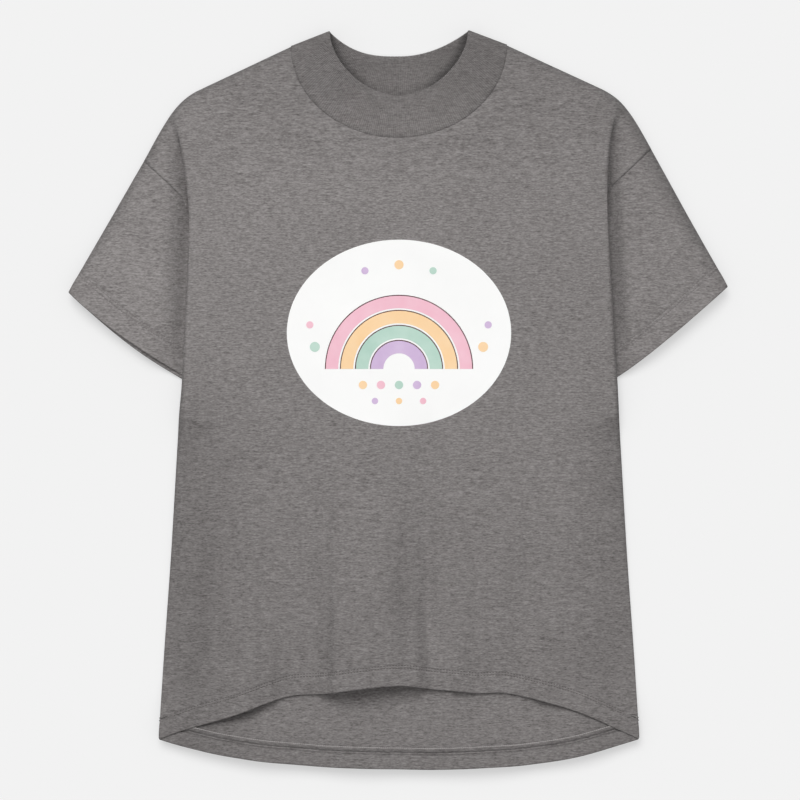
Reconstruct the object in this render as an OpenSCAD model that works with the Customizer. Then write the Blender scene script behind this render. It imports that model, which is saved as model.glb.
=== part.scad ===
// Short-sleeved jersey shirt with a high ribbed neckband, dropped shoulders and a dipped back hem.
// It lies on its back: +X to the wearer's left, +Y to the neck, +Z out of the chest, floor at zero.

/* [Body] */
// Length from the neck point of the shoulder to the middle of the back hem
back_length = 725; // [705:1:790]
// Length from the neck point of the shoulder to the middle of the front hem
front_length = 639; // [590:1:670]
// Length from the neck point of the shoulder down to the hem corners
side_length = 692; // [680:1:700]
// Flat width between the hem corners
hem_width = 478; // [450:1:530]
// Flat width between the side folds at the armpits
armpit_width = 436; // [420:1:450]
// Depth of the armpit below the neck point
armpit_depth = 331; // [310:1:350]
// Height of the chest above the floor
chest_height = 17; // [15:0.5:24]
// Height of the rolled side below the armpit
side_height = 8; // [7:0.5:10]
// Height of the side fold where it lies over the sleeve
fold_height = 13.5; // [13:0.5:15]
// How far the side fold tucks back under itself over the sleeve
fold_tuck = 20; // [12:1:24]

/* [Shoulder] */
// Slope of the shoulder line, in degrees
shoulder_slope = 25; // [20:0.5:28]
// Width between the corners of the shoulders
shoulder_width = 446; // [436:1:460]
// Radius that rounds the shoulder corner
shoulder_round = 75; // [50:1:90]
// Width of the roll from the chest down to the shoulder seam
shoulder_roll = 35; // [25:1:50]
// Distance from the shoulder corner down the sleeve to the armhole seam
shoulder_drop = 58; // [50:1:66]
// Visible run of the armhole seam, from the sleeve's outer fold to the side fold
armhole_run = 55; // [48:1:58]
// Slope of the visible armhole seam, in degrees
armhole_slope = 43; // [38:1:48]

/* [Sleeve] */
// Length from the shoulder corner to the cuff along the outer fold
sleeve_length = 217; // [205:1:235]
// Slope of the sleeve's outer fold, in degrees
sleeve_slope = 60.6; // [58:0.2:63]
// Flat width of the cuff
cuff_width = 170; // [160:1:180]
// Slope of the cuff, in degrees
cuff_slope = 38.3; // [36:0.1:40]
// How far the cuff bows out at its middle
cuff_bow = 5.5; // [0:0.5:8]
// Height of the sleeve under the side fold
sleeve_height = 4.5; // [4:0.1:5]
// Height of the sleeve at its open part
cuff_height = 9; // [7:0.5:12]

/* [Neck] */
// Flat width of the neckline between the shoulder seams
neck_width = 216; // [200:1:226]
// Depth of the front neckline below the neck point
front_neck_depth = 92; // [84:1:100]
// Depth of the back neckline below the neck point
back_neck_depth = 52; // [44:1:56]
// Flat width of the neckband's upper edge
band_top_width = 140; // [124:1:150]
// Rise of the neckband's side tips above the neck point
band_rise = 14; // [10:0.5:20]
// Dip of the neckband's upper edge at the front, below its tips
band_front_dip = 65; // [58:1:70]
// Dip of the neckband's upper edge at the back, below its tips
band_back_dip = 25; // [18:1:30]
// Height of the neckband's upper edge at the front, above the floor
band_height = 18; // [15:0.5:22]

/* [Cloth] */
// Thickness of the jersey
jersey = 1; // [0.8:0.05:1.1]
// Thickness of the folded rib neckband
rib = 2.2; // [1.6:0.1:2.4]
// Depth of the body hems
hem_depth = 20; // [14:1:26]
// Depth of the sleeve hems
cuff_hem_depth = 22; // [14:1:26]

/* [Print] */
// Width of the transfer on the chest
print_width = 224; // [160:1:240]
// Height of the transfer on the chest
print_length = 186; // [140:1:210]
// Distance from the neck point down to the middle of the transfer
print_drop = 287; // [270:1:300]
// Thickness of the transfer film
print_film = 0.3; // [0.2:0.05:0.5]

/* [Hidden] */
cloth_colour = "#7c7877";
rib_colour = "#767271";
film_colour = "#fbfbfa";

// Gap that is left at each seam between two pieces
seam_gap = 0.3;
// Gap between the neckband's lower edge and the necklines
band_gap = 0.5;
// How far the sleeve reaches in under the front at the armhole seam
armhole_lap = 5;
// Length of the roll between the flat of the front and the side fold
side_roll = 7;
// How far the side seam lies in from the side fold
side_tuck = 6;
// How far the back panel stays in from the side fold
back_inset = 2;
// Height of the sleeve's outer fold above its lower layer
sleeve_fold = 1.3;
// Length over which the side fold comes down from the sleeve to the floor
fold_ramp = 45;
// Length over which the side fold opens out to the armhole seam
fold_open = 42;
// Distance from the neck point down to where the side folds start to flare to the shoulders
flare_depth = 175;
// Height of the front hem, and the length over which it rises to the chest
hem_height = 12;
hem_reach = 150;
// Height and length of the soft folds that hang to the hem, and how far they reach up
drape_height = 2;
drape_length = 106;
drape_reach = 290;
// Height of the front neckline, and the length over which the chest falls to it
neckline_height = 14.5;
neckline_reach = 90;
// Depth of the armpit of the sleeve below the neck point, and its distance from the middle
sleeve_armpit_depth = 293;
sleeve_armpit_x = 190;

// Powers that set how flat a curve runs before it turns
front_hem_power = 2;
back_hem_power = 2.6;
band_front_power = 1.8;
band_back_power = 1.6;
band_lift_power = 1.2;
sleeve_flat_power = 0.6;
hold_power = 6;

// Shares of the sleeve's length and width over which it rises and falls
sleeve_rise_shares = [0.1, 0.6];
sleeve_fall_shares = [0.4, 0.68];
sleeve_sag_shares = [0.2, 0.6];
// Share of the armhole that shows outside the side fold, and reach of its curve below that
armhole_seen_share = 0.27;
armhole_bend_share = 0.25;
// Share of the side roll by which its curve is pulled past the fold
roll_pull_share = 1/3;
// Share of the outer shoulder edge by which its curve follows the shoulder and sleeve lines
shoulder_pull_share = 0.27;

// Steps of the grids
neck_steps = 12;
shoulder_steps = 5;
roll_steps = 6;
hem_steps = 2;
lower_steps = 8;
armpit_steps = 4;
fold_steps = 7;
seam_steps = 3;
top_steps = 5;
around_steps = 28;
along_steps = 8;
cuff_hem_steps = 2;
band_around_steps = 72;
band_across_steps = 4;
outline_steps = 36;
film_steps = 8;

// Levels and points that the pieces share
overall_length = back_length + band_rise;
neck_y = overall_length/2 - band_rise;
tip_y = overall_length/2;
corner_y = neck_y - side_length;
front_hem_y = neck_y - front_length;
back_hem_y = neck_y - back_length;
armpit_y = neck_y - armpit_depth;
neck_half = neck_width/2;
hem_half = hem_width/2;
armpit_half = armpit_width/2;
shoulder_run = [cos(shoulder_slope), -sin(shoulder_slope)];
sleeve_run = [cos(sleeve_slope), -sin(sleeve_slope)];
cuff_run = [-cos(cuff_slope), -sin(cuff_slope)];
cuff_out = [sin(cuff_slope), -cos(cuff_slope)];
armhole_run_way = [-cos(armhole_slope), -sin(armhole_slope)];
neck_point = [neck_half, neck_y];
shoulder_corner = [shoulder_width/2, neck_y - (shoulder_width/2 - neck_half)*tan(shoulder_slope)];
sleeve_tip = shoulder_corner + shoulder_drop*sleeve_run;
cuff_tip = shoulder_corner + sleeve_length*sleeve_run;
cuff_end = cuff_tip + cuff_width*cuff_run;
armhole_mid = sleeve_tip + armhole_run*armhole_run_way;
armhole_bend = armhole_mid + armhole_bend_share*(armhole_depth_run())*armhole_run_way;
sleeve_armpit = [sleeve_armpit_x, neck_y - sleeve_armpit_depth];
function armhole_depth_run() = norm(armhole_mid - [sleeve_armpit_x, neck_y - sleeve_armpit_depth]);

// Middle of the cloth where the front rests on the back panel, and where the sleeve does
rest_z = jersey + seam_gap + jersey/2;
sleeve_lift = rest_z - jersey/2;
fold_rest_z = rest_z + sleeve_height + jersey + seam_gap;

// Small helpers
function lerp(a, b, t) = a + (b - a)*t;
function limit(t) = min(max(t, 0), 1);
function ease(t) = let(s = limit(t)) s*s*(3 - 2*s);
function ramp(x, from, to) = ease((x - from)/(to - from));
function unit(v) = v/norm(v);
function rolled(t) = let(s = limit(t)) sqrt(1 - pow(1 - s, 2));
function bezier(p, t) =
    pow(1 - t, 3)*p[0] + 3*pow(1 - t, 2)*t*p[1] + 3*(1 - t)*t*t*p[2] + pow(t, 3)*p[3];
function curve(a, b, c, t) = pow(1 - t, 2)*a + 2*(1 - t)*t*b + t*t*c;
function steps(from, to, n) = [for (k = [0:n - 1]) lerp(from, to, k/n)];
function flatten(rows) = [for (row = rows) each row];
function lift(p, z) = [p[0], p[1], z];
function mirrored(p) = [-p[0], p[1], p[2]];

// Rounded corner between the shoulder line and the sleeve's outer fold
function inside_shoulder(p) = (p - neck_point)*[-sin(shoulder_slope), -cos(shoulder_slope)];
function inside_sleeve(p) = (p - shoulder_corner)*[-sin(sleeve_slope), -cos(sleeve_slope)];
corner_turn = (sleeve_slope - shoulder_slope)/2;
corner_reach = shoulder_round*tan(corner_turn);
round_start = shoulder_corner - corner_reach*shoulder_run;
round_middle = round_start + shoulder_round*[-sin(shoulder_slope), -cos(shoulder_slope)];
function on_round(p) = (p - round_middle)*shoulder_run > 0 && (p - round_middle)*sleeve_run < 0;
function inside_edge(p) = on_round(p)
    ? shoulder_round - norm(p - round_middle)
    : min(inside_shoulder(p), inside_sleeve(p));
function shoulder_y(x) = x < round_start[0]
    ? neck_y - (x - neck_half)*tan(shoulder_slope)
    : round_middle[1] + sqrt(max(pow(shoulder_round, 2) - pow(x - round_middle[0], 2), 0));

// Side fold: straight from the hem to the chest, then flaring out to the round of the shoulder
fold_top = round_middle
    + shoulder_round*[sin(shoulder_slope + corner_turn), cos(shoulder_slope + corner_turn)];
flare_y = neck_y - flare_depth;
function side_line(y) = lerp(hem_half, armpit_half, (y - corner_y)/(armpit_y - corner_y));
shoulder_flare = fold_top[0] - side_line(fold_top[1]);
function fold_x(y) =
    side_line(y) + shoulder_flare*pow(limit((y - flare_y)/(fold_top[1] - flare_y)), 2);

// Share of the way from the hem, where the side lies on the floor, to where it lies on the sleeve
sleeve_low = cuff_end[1] - side_tuck;
function on_sleeve(y) = ramp(y, sleeve_low - fold_ramp, sleeve_low);

// Hem lines
function front_hem(x) =
    corner_y + (front_hem_y - corner_y)*(1 - pow(limit(abs(x)/hem_half), front_hem_power));
function back_hem(x) =
    corner_y + (back_hem_y - corner_y)*(1 - pow(limit(abs(x)/hem_half), back_hem_power));

// Height of the middle of the front's cloth, above any point inside the side folds
function side_z(y) = lerp(side_height, fold_height, on_sleeve(y));
function middle_z(y) = lerp(
    lerp(hem_height, chest_height, ramp(y, front_hem_y, front_hem_y + hem_reach)),
    neckline_height,
    ramp(y, neck_y - front_neck_depth - neckline_reach, neck_y - front_neck_depth));
function drape_z(x, y) =
    -drape_height*cos(360*x/drape_length)*(1 - ramp(y, front_hem(x), front_hem(x) + drape_reach));
function crown_z(x, y) = let(bulge = 1 - pow(limit(abs(x)/fold_x(y)), 2))
    side_z(y) + bulge*(middle_z(y) - side_z(y) + drape_z(x, y));
function front_z(x, y) =
    rest_z + (crown_z(x, y) - rest_z)*rolled(inside_edge([abs(x), y])/shoulder_roll);

// A sheet of cloth: a grid of points on its middle, thickened along its normals.
// The grid's rows and columns turn anticlockwise as seen from the outside of the cloth.
function point_of(grid, i, j, loop) = let(n = len(grid[0]))
    grid[min(max(i, 0), len(grid) - 1)][loop ? (j + n)%n : min(max(j, 0), n - 1)];
function normal_of(grid, i, j, loop) = unit(cross(
    point_of(grid, i, j + 1, loop) - point_of(grid, i, j - 1, loop),
    point_of(grid, i + 1, j, loop) - point_of(grid, i - 1, j, loop)));
function moved(grid, by, loop) = [for (i = [0:len(grid) - 1])
    [for (j = [0:len(grid[0]) - 1]) grid[i][j] + by[i]*normal_of(grid, i, j, loop)]];
function two(a, b, c, d) = [[a, b, c], [a, c, d]];

module sheet(grid, outward, inward, loop = false) {
    rows = len(grid);
    columns = len(grid[0]);
    last = loop ? columns - 1 : columns - 2;
    shell = concat(flatten(moved(grid, outward, loop)), flatten(moved(grid, -inward, loop)));
    function o(i, j) = i*columns + j%columns;
    function n(i, j) = rows*columns + o(i, j);
    top = rows - 1;
    end = columns - 1;
    faces = concat(
        [for (i = [0:rows - 2], j = [0:last])
            each two(o(i, j), o(i + 1, j), o(i + 1, j + 1), o(i, j + 1))],
        [for (i = [0:rows - 2], j = [0:last])
            each two(n(i, j), n(i, j + 1), n(i + 1, j + 1), n(i + 1, j))],
        [for (j = [0:last]) each two(o(0, j), o(0, j + 1), n(0, j + 1), n(0, j))],
        [for (j = [0:last]) each two(o(top, j + 1), o(top, j), n(top, j), n(top, j + 1))],
        loop ? [] : [for (i = [0:rows - 2]) each two(o(i + 1, 0), o(i, 0), n(i, 0), n(i + 1, 0))],
        loop ? [] : [for (i = [0:rows - 2])
            each two(o(i, end), o(i + 1, end), n(i + 1, end), n(i, end))]);
    polyhedron(shell, faces, convexity = 6);
}

// Levels of the front's rows, as heights of the side fold above the hem corner
top_y = shoulder_y(fold_top[0] - side_roll);
hem_line_y = corner_y + hem_depth;
row_levels = concat(
    steps(corner_y, hem_line_y - jersey, hem_steps),
    [hem_line_y - jersey, hem_line_y],
    [for (y = steps(hem_line_y, sleeve_low - fold_ramp, lower_steps)) if (y > hem_line_y) y],
    steps(sleeve_low - fold_ramp, sleeve_low, armpit_steps),
    steps(sleeve_low, armhole_mid[1], fold_steps),
    steps(armhole_mid[1], top_y - shoulder_roll, seam_steps),
    [for (k = [0:top_steps]) top_y - shoulder_roll*pow(1 - k/top_steps, 2)]);
function row_share(y) = (y - corner_y)/(top_y - corner_y);
seam_share = row_share(armhole_mid[1]);

// Columns of the flat of the front, as distances from the middle at the shoulder
flat_end = fold_top[0] - side_roll;
column_xs = concat(
    [for (k = [0:neck_steps]) neck_half*sin(90*k/neck_steps)],
    [for (k = [1:shoulder_steps]) lerp(neck_half, flat_end, k/shoulder_steps)]);
function column_top(x) = x < neck_half
    ? neck_y - front_neck_depth*sqrt(1 - pow(x/neck_half, 2))
    : shoulder_y(x);

function flat_point(x, v) = let(
    low = front_hem(x*(hem_half - side_roll)/flat_end),
    y = lerp(low, column_top(x), v),
    spread = lerp((fold_x(y) - side_roll)/flat_end, 1, pow(v, hold_power)))
    [x*spread, y, front_z(x*spread, y)];

// Height of the front's edge where it laps the sleeve, from the outer fold inwards
function sleeve_profile(a) = pow(max(1 - pow(1 - 2*a, 2), 0), sleeve_flat_power/2);
function armhole_z(a) =
    rest_z + lerp(sleeve_fold, sleeve_height, sleeve_profile(a)) + jersey + seam_gap;

// Where a row of the front ends: on the side seam, folded over the sleeve, or on the armhole seam
function row_end(v, y) = let(
    s = (v - seam_share)/(1 - seam_share),
    opening = ramp(y, armhole_mid[1] - fold_open, armhole_mid[1]),
    tucked = fold_x(y) - lerp(side_tuck, fold_tuck, on_sleeve(y)),
    hem_lift = jersey*(1 - ramp(y, hem_line_y, hem_line_y + hem_depth)),
    low = lerp(rest_z + hem_lift, fold_rest_z, on_sleeve(y)))
    s > 0
        ? lift(lerp(armhole_mid, sleeve_tip, s), armhole_z(armhole_seen_share*(1 - s)))
        : [lerp(tucked, armhole_mid[0], opening), y,
           lerp(low, armhole_z(armhole_seen_share), opening)];

// Roll of a row round the side fold, from the flat of the front to the row's end
function roll_points(v) = let(
    start = flat_point(flat_end, v),
    end = row_end(v, start[1]),
    pull = side_roll*roll_pull_share,
    out = ramp(end[0] - fold_x(start[1]), -pull, shoulder_drop/2),
    fold = fold_x(start[1]) + lerp(pull, 0, out),
    follow = ramp(v, seam_share, 1)*pow(v, hold_power),
    edge = shoulder_pull_share*norm(end - start),
    near = lerp([fold, start[1], start[2]], start + edge*lift(shoulder_run, 0), follow),
    far = lerp([fold, end[1], end[2]], end - edge*lift(sleeve_run, 0), follow))
    [for (k = [1:roll_steps]) bezier([start, near, far, end], k/roll_steps)];

function half_row(v) = concat([for (x = column_xs) flat_point(x, v)], roll_points(v));
function full_row(half) =
    concat([for (k = [len(half) - 1:-1:1]) mirrored(half[k])], half);

// Front of the body: crowned over the chest, rolled round the side folds, its hem turned up inside
module front_panel() {
    grid = [for (y = row_levels) full_row(half_row(row_share(y)))];
    outward = [for (y = row_levels) jersey/2];
    inward = [for (y = row_levels) y < hem_line_y ? jersey*1.5 : jersey/2];
    color(cloth_colour) sheet(grid, outward, inward);
}

// Half of the back's outline, from the middle of the neck round to the middle of the hem
function back_outline() = concat(
    [for (k = [0:outline_steps]) let(turn = 180 - 90*k/outline_steps)
        [neck_half*sin(turn), neck_y + back_neck_depth*cos(turn)]],
    [for (x = steps(neck_half, fold_top[0], shoulder_steps)) if (x > neck_half) [x, shoulder_y(x)]],
    [fold_top, sleeve_tip, armhole_mid],
    [for (y = steps(armhole_mid[1] - fold_open, corner_y, outline_steps)) [fold_x(y) - back_inset, y]],
    [for (x = steps(hem_half - back_inset, 0, outline_steps)) [x, back_hem(x)]]);
function both_sides(half) =
    concat(half, [for (k = [len(half) - 1:-1:1]) [-half[k][0], half[k][1]]]);

// Turned-up hem of the back, seen from inside below the front hem
hem_xs = [for (k = [-outline_steps:outline_steps]) (hem_half - back_inset)*k/outline_steps];
function hem_strip() = concat(
    [for (x = hem_xs) [x, back_hem(x)]],
    [for (k = [len(hem_xs) - 1:-1:0]) [hem_xs[k], back_hem(hem_xs[k]) + hem_depth]]);

// Back of the body: flat on the floor
module back_panel() {
    color(cloth_colour) {
        linear_extrude(jersey) polygon(both_sides(back_outline()));
        translate([0, 0, jersey]) linear_extrude(jersey) polygon(hem_strip());
    }
}

// Point on the sleeve's two ends, from the outer fold inwards
function armhole_point(a) = a < armhole_seen_share
    ? lerp(sleeve_tip, armhole_mid, a/armhole_seen_share)
    : curve(armhole_mid, armhole_bend, sleeve_armpit, (a - armhole_seen_share)/(1 - armhole_seen_share));
function cuff_point(a) = lerp(cuff_tip, cuff_end, a) + cuff_bow*sin(180*a)*cuff_out;

// Point round the sleeve's flattened tube: half a turn is the upper layer, the rest the lower one
function sleeve_point(turn, along) = let(
    a = (1 - cos(turn))/2,
    seam = armhole_point(a) - armhole_lap*sleeve_run,
    p = lerp(seam, cuff_point(a), along),
    open = ramp(along, sleeve_rise_shares[0], sleeve_rise_shares[1])
        *(1 - ramp(a, sleeve_fall_shares[0], sleeve_fall_shares[1])),
    height = lerp(sleeve_height, cuff_height, open),
    clear = 1 - ramp(p[0], fold_x(p[1]), fold_x(p[1]) + shoulder_roll),
    bed = rest_z - sleeve_lift*(1 - max(clear, 1 - ramp(along, sleeve_sag_shares[0], sleeve_sag_shares[1]))),
    full = sleeve_profile(a),
    z = turn < 180 ? lerp(sleeve_fold, height, full) : sleeve_fold*(1 - full))
    lift(p, bed + z);

cuff_hem_share = 1 - cuff_hem_depth/(sleeve_length - shoulder_drop);
hem_edge_share = jersey/(sleeve_length - shoulder_drop);
along_shares = concat(
    steps(0, cuff_hem_share, along_steps),
    [cuff_hem_share, cuff_hem_share + hem_edge_share],
    [for (k = [1:cuff_hem_steps]) lerp(cuff_hem_share, 1, k/cuff_hem_steps)]);

// Sleeve: a flattened tube that is tucked between the front and the back, its cuff turned up inside
module sleeve() {
    grid = [for (along = along_shares)
        [for (k = [0:around_steps - 1]) sleeve_point(360*k/around_steps, along)]];
    outward = [for (along = along_shares) jersey/2];
    inward = [for (along = along_shares) along > cuff_hem_share ? jersey : jersey/2];
    color(cloth_colour) sheet(grid, outward, inward, loop = true);
}
module left_sleeve() { sleeve(); }
module right_sleeve() { mirror([1, 0, 0]) sleeve(); }

// Points on the neckband's lower and upper edges, a turn of 0 at the front and 180 at the back
band_half = neck_half - rib/2 - band_gap;
function band_seam(turn) = let(
    front = cos(turn) > 0,
    x = band_half*sin(turn),
    y = neck_y - (front ? front_neck_depth : -back_neck_depth)*cos(turn))
    [x, y, front ? max(front_z(x, y), rib/2) : rib/2];
function band_edge(turn) = let(
    front = cos(turn) > 0,
    power = front ? band_front_power : band_back_power,
    x = band_top_width/2*sin(turn),
    dip = (front ? band_front_dip : band_back_dip)*pow(1 - pow(abs(sin(turn)), power), 1/power))
    [x, tip_y - dip, rib/2 + (band_height - rib)*pow((1 + cos(turn))/2, band_lift_power)];
function band_point(turn, across) = let(
    seam = band_seam(turn),
    edge = band_edge(turn))
    lerp(seam + band_gap*unit(edge - seam), edge, across);

// Neckband: one ring of folded rib that stands up round the neck
module neckband() {
    grid = [for (i = [0:band_across_steps])
        [for (k = [0:band_around_steps - 1])
            band_point(360*k/band_around_steps, i/band_across_steps)]];
    half = [for (i = [0:band_across_steps]) rib/2];
    color(rib_colour) sheet(grid, half, half, loop = true);
}

// Point of the oval transfer, mapped from a square so that it has no pole
print_y = neck_y - print_drop;
function film_point(s, t) = let(
    x = print_width/2*s*sqrt(1 - t*t/2),
    y = print_y + print_length/2*t*sqrt(1 - s*s/2))
    [x, y, front_z(x, y) + jersey/2 + print_film];

// Transfer film on the chest
module chest_print() {
    grid = [for (i = [-film_steps:film_steps])
        [for (j = [-film_steps:film_steps]) film_point(j/film_steps, i/film_steps)]];
    half = [for (row = grid) print_film/2];
    color(film_colour) sheet(grid, half, half);
}

back_panel();
front_panel();
left_sleeve();
right_sleeve();
neckband();
chest_print();
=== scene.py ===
# %% [markdown]
# # A jersey T-shirt, laid flat
#
# The shirt lies on its back on a pale floor and the camera looks straight down on it.
# The solid model gives the frame: where each panel lies, and how large it is.
# Cloth is soft, so each panel is made again here as a thin sheet with real folds, turned
# hems and stitches, and then it stands in for its solid.

import math

import bpy
import numpy as np
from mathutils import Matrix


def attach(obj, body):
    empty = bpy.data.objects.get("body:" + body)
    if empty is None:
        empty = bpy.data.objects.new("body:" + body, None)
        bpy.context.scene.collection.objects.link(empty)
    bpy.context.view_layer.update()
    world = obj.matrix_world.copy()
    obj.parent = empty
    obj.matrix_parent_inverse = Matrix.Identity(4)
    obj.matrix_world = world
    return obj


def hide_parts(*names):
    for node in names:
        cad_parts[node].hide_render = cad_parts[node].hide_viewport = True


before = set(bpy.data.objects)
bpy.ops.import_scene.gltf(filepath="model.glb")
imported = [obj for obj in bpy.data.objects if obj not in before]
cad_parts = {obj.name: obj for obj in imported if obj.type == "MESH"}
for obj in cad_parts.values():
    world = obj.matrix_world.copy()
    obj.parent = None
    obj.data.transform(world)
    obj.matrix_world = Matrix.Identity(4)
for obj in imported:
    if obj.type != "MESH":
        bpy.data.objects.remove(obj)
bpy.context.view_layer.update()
print("nodes:", sorted(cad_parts))

# %% [markdown]
# ## The camera
#
# The shirt is seen from straight above, at a scale of one millimetre to the pixel of an
# 800-pixel picture. A long lens from far away keeps the outline free of perspective, so the
# high chest and the low hem are drawn at the same scale.

# %% Camera
MM = 0.001
VIEW_WIDTH = 800 * MM
VIEW_MIDDLE = (1.0 * MM, 1.5 * MM)
CAMERA_HEIGHT = 6.0
SCALE_HEIGHT = 12 * MM
SENSOR = 36.0

camera_data = bpy.data.cameras.new("camera")
camera_data.sensor_width = SENSOR
camera_data.lens = SENSOR * (CAMERA_HEIGHT - SCALE_HEIGHT) / VIEW_WIDTH
camera_data.clip_end = 100
camera = bpy.data.objects.new("camera", camera_data)
camera.location = (*VIEW_MIDDLE, CAMERA_HEIGHT)
bpy.context.collection.objects.link(camera)
bpy.context.scene.camera = camera
print(f"lens: {camera_data.lens:.0f} mm")

# %% [markdown]
# ## Nodes in short
#
# A material is a tree of nodes, and it takes a few lines to make each node and join it up.
# These helpers make one node each, from numbers, colours or the outputs of other nodes.

# %% Node helpers
def feed(tree, socket, value):
    """Joins another node's output to a socket, or writes a plain value on it."""
    if hasattr(value, "is_output"):
        tree.links.new(value, socket)
    else:
        socket.default_value = value


def math_node(tree, operation, *values):
    """The result of a Math node."""
    node = tree.nodes.new("ShaderNodeMath")
    node.operation = operation
    for socket, value in zip(node.inputs, values):
        feed(tree, socket, value)
    return node.outputs[0]


def mixed(tree, factor, a, b):
    """The colour that lies between a and b."""
    node = tree.nodes.new("ShaderNodeMix")
    node.data_type = "RGBA"
    for socket, value in (("Factor", factor), ("A", a), ("B", b)):
        feed(tree, node.inputs[socket], value)
    return node.outputs["Result"]


def split(tree, vector):
    """The X, Y and Z of a vector."""
    node = tree.nodes.new("ShaderNodeSeparateXYZ")
    tree.links.new(vector, node.inputs[0])
    return node.outputs


def grey(level):
    return (level, level, level, 1)


print("node helpers ready")

# %% [markdown]
# ## Floor and light
#
# A studio sets a garment far in front of a pale sweep, which is lit by itself: the shadow on
# it stays light, and little of its light comes back to the cloth. Here the floor glows to
# the camera's eye, still takes the shirt's shadow, and throws back only a small share.

# %% Floor
FLOOR_GREY, FLOOR_SHADED, FLOOR_BOUNCE = 0.888, 0.40, 0.2

bpy.ops.object.select_all(action="DESELECT")
bpy.ops.mesh.primitive_plane_add(size=60)
floor = bpy.context.object
floor.name = "floor"
floor_paint = bpy.data.materials.new("floor_paint")
floor_paint.use_nodes = True
floor_shader = floor_paint.node_tree.nodes["Principled BSDF"]
floor_shader.inputs["Roughness"].default_value = 1.0
floor_shader.inputs["Specular IOR Level"].default_value = 0.0
floor.data.materials.append(floor_paint)

tree = floor_paint.node_tree
rays = tree.nodes.new("ShaderNodeLightPath").outputs
seen_by = rays["Is Camera Ray"]
for other in ("Is Glossy Ray", "Is Transmission Ray"):
    seen_by = math_node(tree, "MAXIMUM", seen_by, rays[other])
tone = mixed(tree, seen_by, grey(FLOOR_BOUNCE), grey(FLOOR_SHADED))
tree.links.new(tone, floor_shader.inputs["Base Color"])
glow = math_node(tree, "MULTIPLY", seen_by, FLOOR_GREY - FLOOR_SHADED)
floor_shader.inputs["Emission Color"].default_value = grey(1)
tree.links.new(glow, floor_shader.inputs["Emission Strength"])
print("floor:", floor_paint.name)

# %% [markdown]
# The light is broad and soft. A wide lamp hangs beyond the collar and a little to the left, so
# that the shade of each lifted edge falls towards the hem, and a sky lights the rest, so
# that every rounded edge darkens as it turns away. Together they give a level of one, at
# which a colour is drawn about as it is written.

# %% Lamp
SUN_SHARE = 0.47
SUN_HEIGHT = math.radians(57)
SUN_TURN = math.radians(12)
SUN_SPREAD = math.radians(35)

sun_data = bpy.data.lights.new("sun", "SUN")
sun_data.energy = math.pi * SUN_SHARE / math.sin(SUN_HEIGHT)
sun_data.angle = SUN_SPREAD
sun = bpy.data.objects.new("sun", sun_data)
sun.rotation_euler = (-(math.pi / 2 - SUN_HEIGHT), 0, SUN_TURN)
bpy.context.collection.objects.link(sun)
print("lamp turned by", [round(v, 2) for v in sun.rotation_euler])

# %% [markdown]
# The sky is brightest overhead and fades to the horizon, and it is a little brighter on the
# left. A camera that looks past the floor sees the floor's own grey.

# %% Sky
SKY_POWER = 1.2
SKY_LEAN = 0.05

sky = bpy.data.worlds.new("sky")
sky.use_nodes = True
bpy.context.scene.world = sky
tree = sky.node_tree
towards = split(tree, tree.nodes.new("ShaderNodeTexCoord").outputs["Generated"])
overhead = math_node(tree, "POWER", math_node(tree, "MAXIMUM", towards["Z"], 0.0), SKY_POWER)
lean = math_node(tree, "ADD", 1.0, math_node(tree, "MULTIPLY", towards["X"], -SKY_LEAN))
level = (1 - SUN_SHARE) * (SKY_POWER + 2) / 2
strength = math_node(tree, "MULTIPLY", math_node(tree, "MULTIPLY", overhead, lean), level)
fill = tree.nodes["Background"]
fill.inputs["Color"].default_value = grey(1)
tree.links.new(strength, fill.inputs["Strength"])
seen = tree.nodes.new("ShaderNodeBackground")
seen.inputs["Color"].default_value = grey(FLOOR_GREY)
rays = tree.nodes.new("ShaderNodeLightPath").outputs
either = tree.nodes.new("ShaderNodeMixShader")
for socket, source in zip(either.inputs, (rays["Is Camera Ray"], fill.outputs[0], seen.outputs[0])):
    tree.links.new(source, socket)
tree.links.new(either.outputs[0], tree.nodes["World Output"].inputs["Surface"])
bpy.context.scene.view_settings.view_transform = "Standard"
print("sky level overhead:", round(level, 2))

# %% [markdown]
# ## Heather jersey
#
# Heather yarn is spun from light and dark fibres, so the cloth shows short streaks along its
# knitted rows. Two stretched noises make long and short streaks, and a broad one makes faint
# clouds. The knit itself is a grid of small V shapes, finer than a millimetre, so it is a
# height for the bump and not a mesh. Both effects are groups, because the body, the rib, the
# film and the threads use them with their own values.

# %% Helpers for colours and groups
def rgb(red, green, blue):
    """A screen colour from 0 to 255 as the linear colour that a shader reads."""
    out = []
    for value in (red, green, blue):
        v = value / 255
        out.append(v / 12.92 if v <= 0.04045 else ((v + 0.055) / 1.055) ** 2.4)
    return (*out, 1.0)


def new_group(name, inputs, outputs):
    """A shader node group with its sockets, and its input and output nodes."""
    group = bpy.data.node_groups.new(name, "ShaderNodeTree")
    for socket, kind, value in inputs:
        made = group.interface.new_socket(socket, in_out="INPUT", socket_type=kind)
        if value is not None:
            made.default_value = value
    for socket, kind in outputs:
        group.interface.new_socket(socket, in_out="OUTPUT", socket_type=kind)
    start = group.nodes.new("NodeGroupInput")
    end = group.nodes.new("NodeGroupOutput")
    return group, start, end


def vector_math(tree, operation, a, socket, b):
    """A Vector Math node of a vector and of what goes into its other socket."""
    node = tree.nodes.new("ShaderNodeVectorMath")
    node.operation = operation
    feed(tree, node.inputs[0], a)
    feed(tree, node.inputs[socket], b)
    return node


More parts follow.
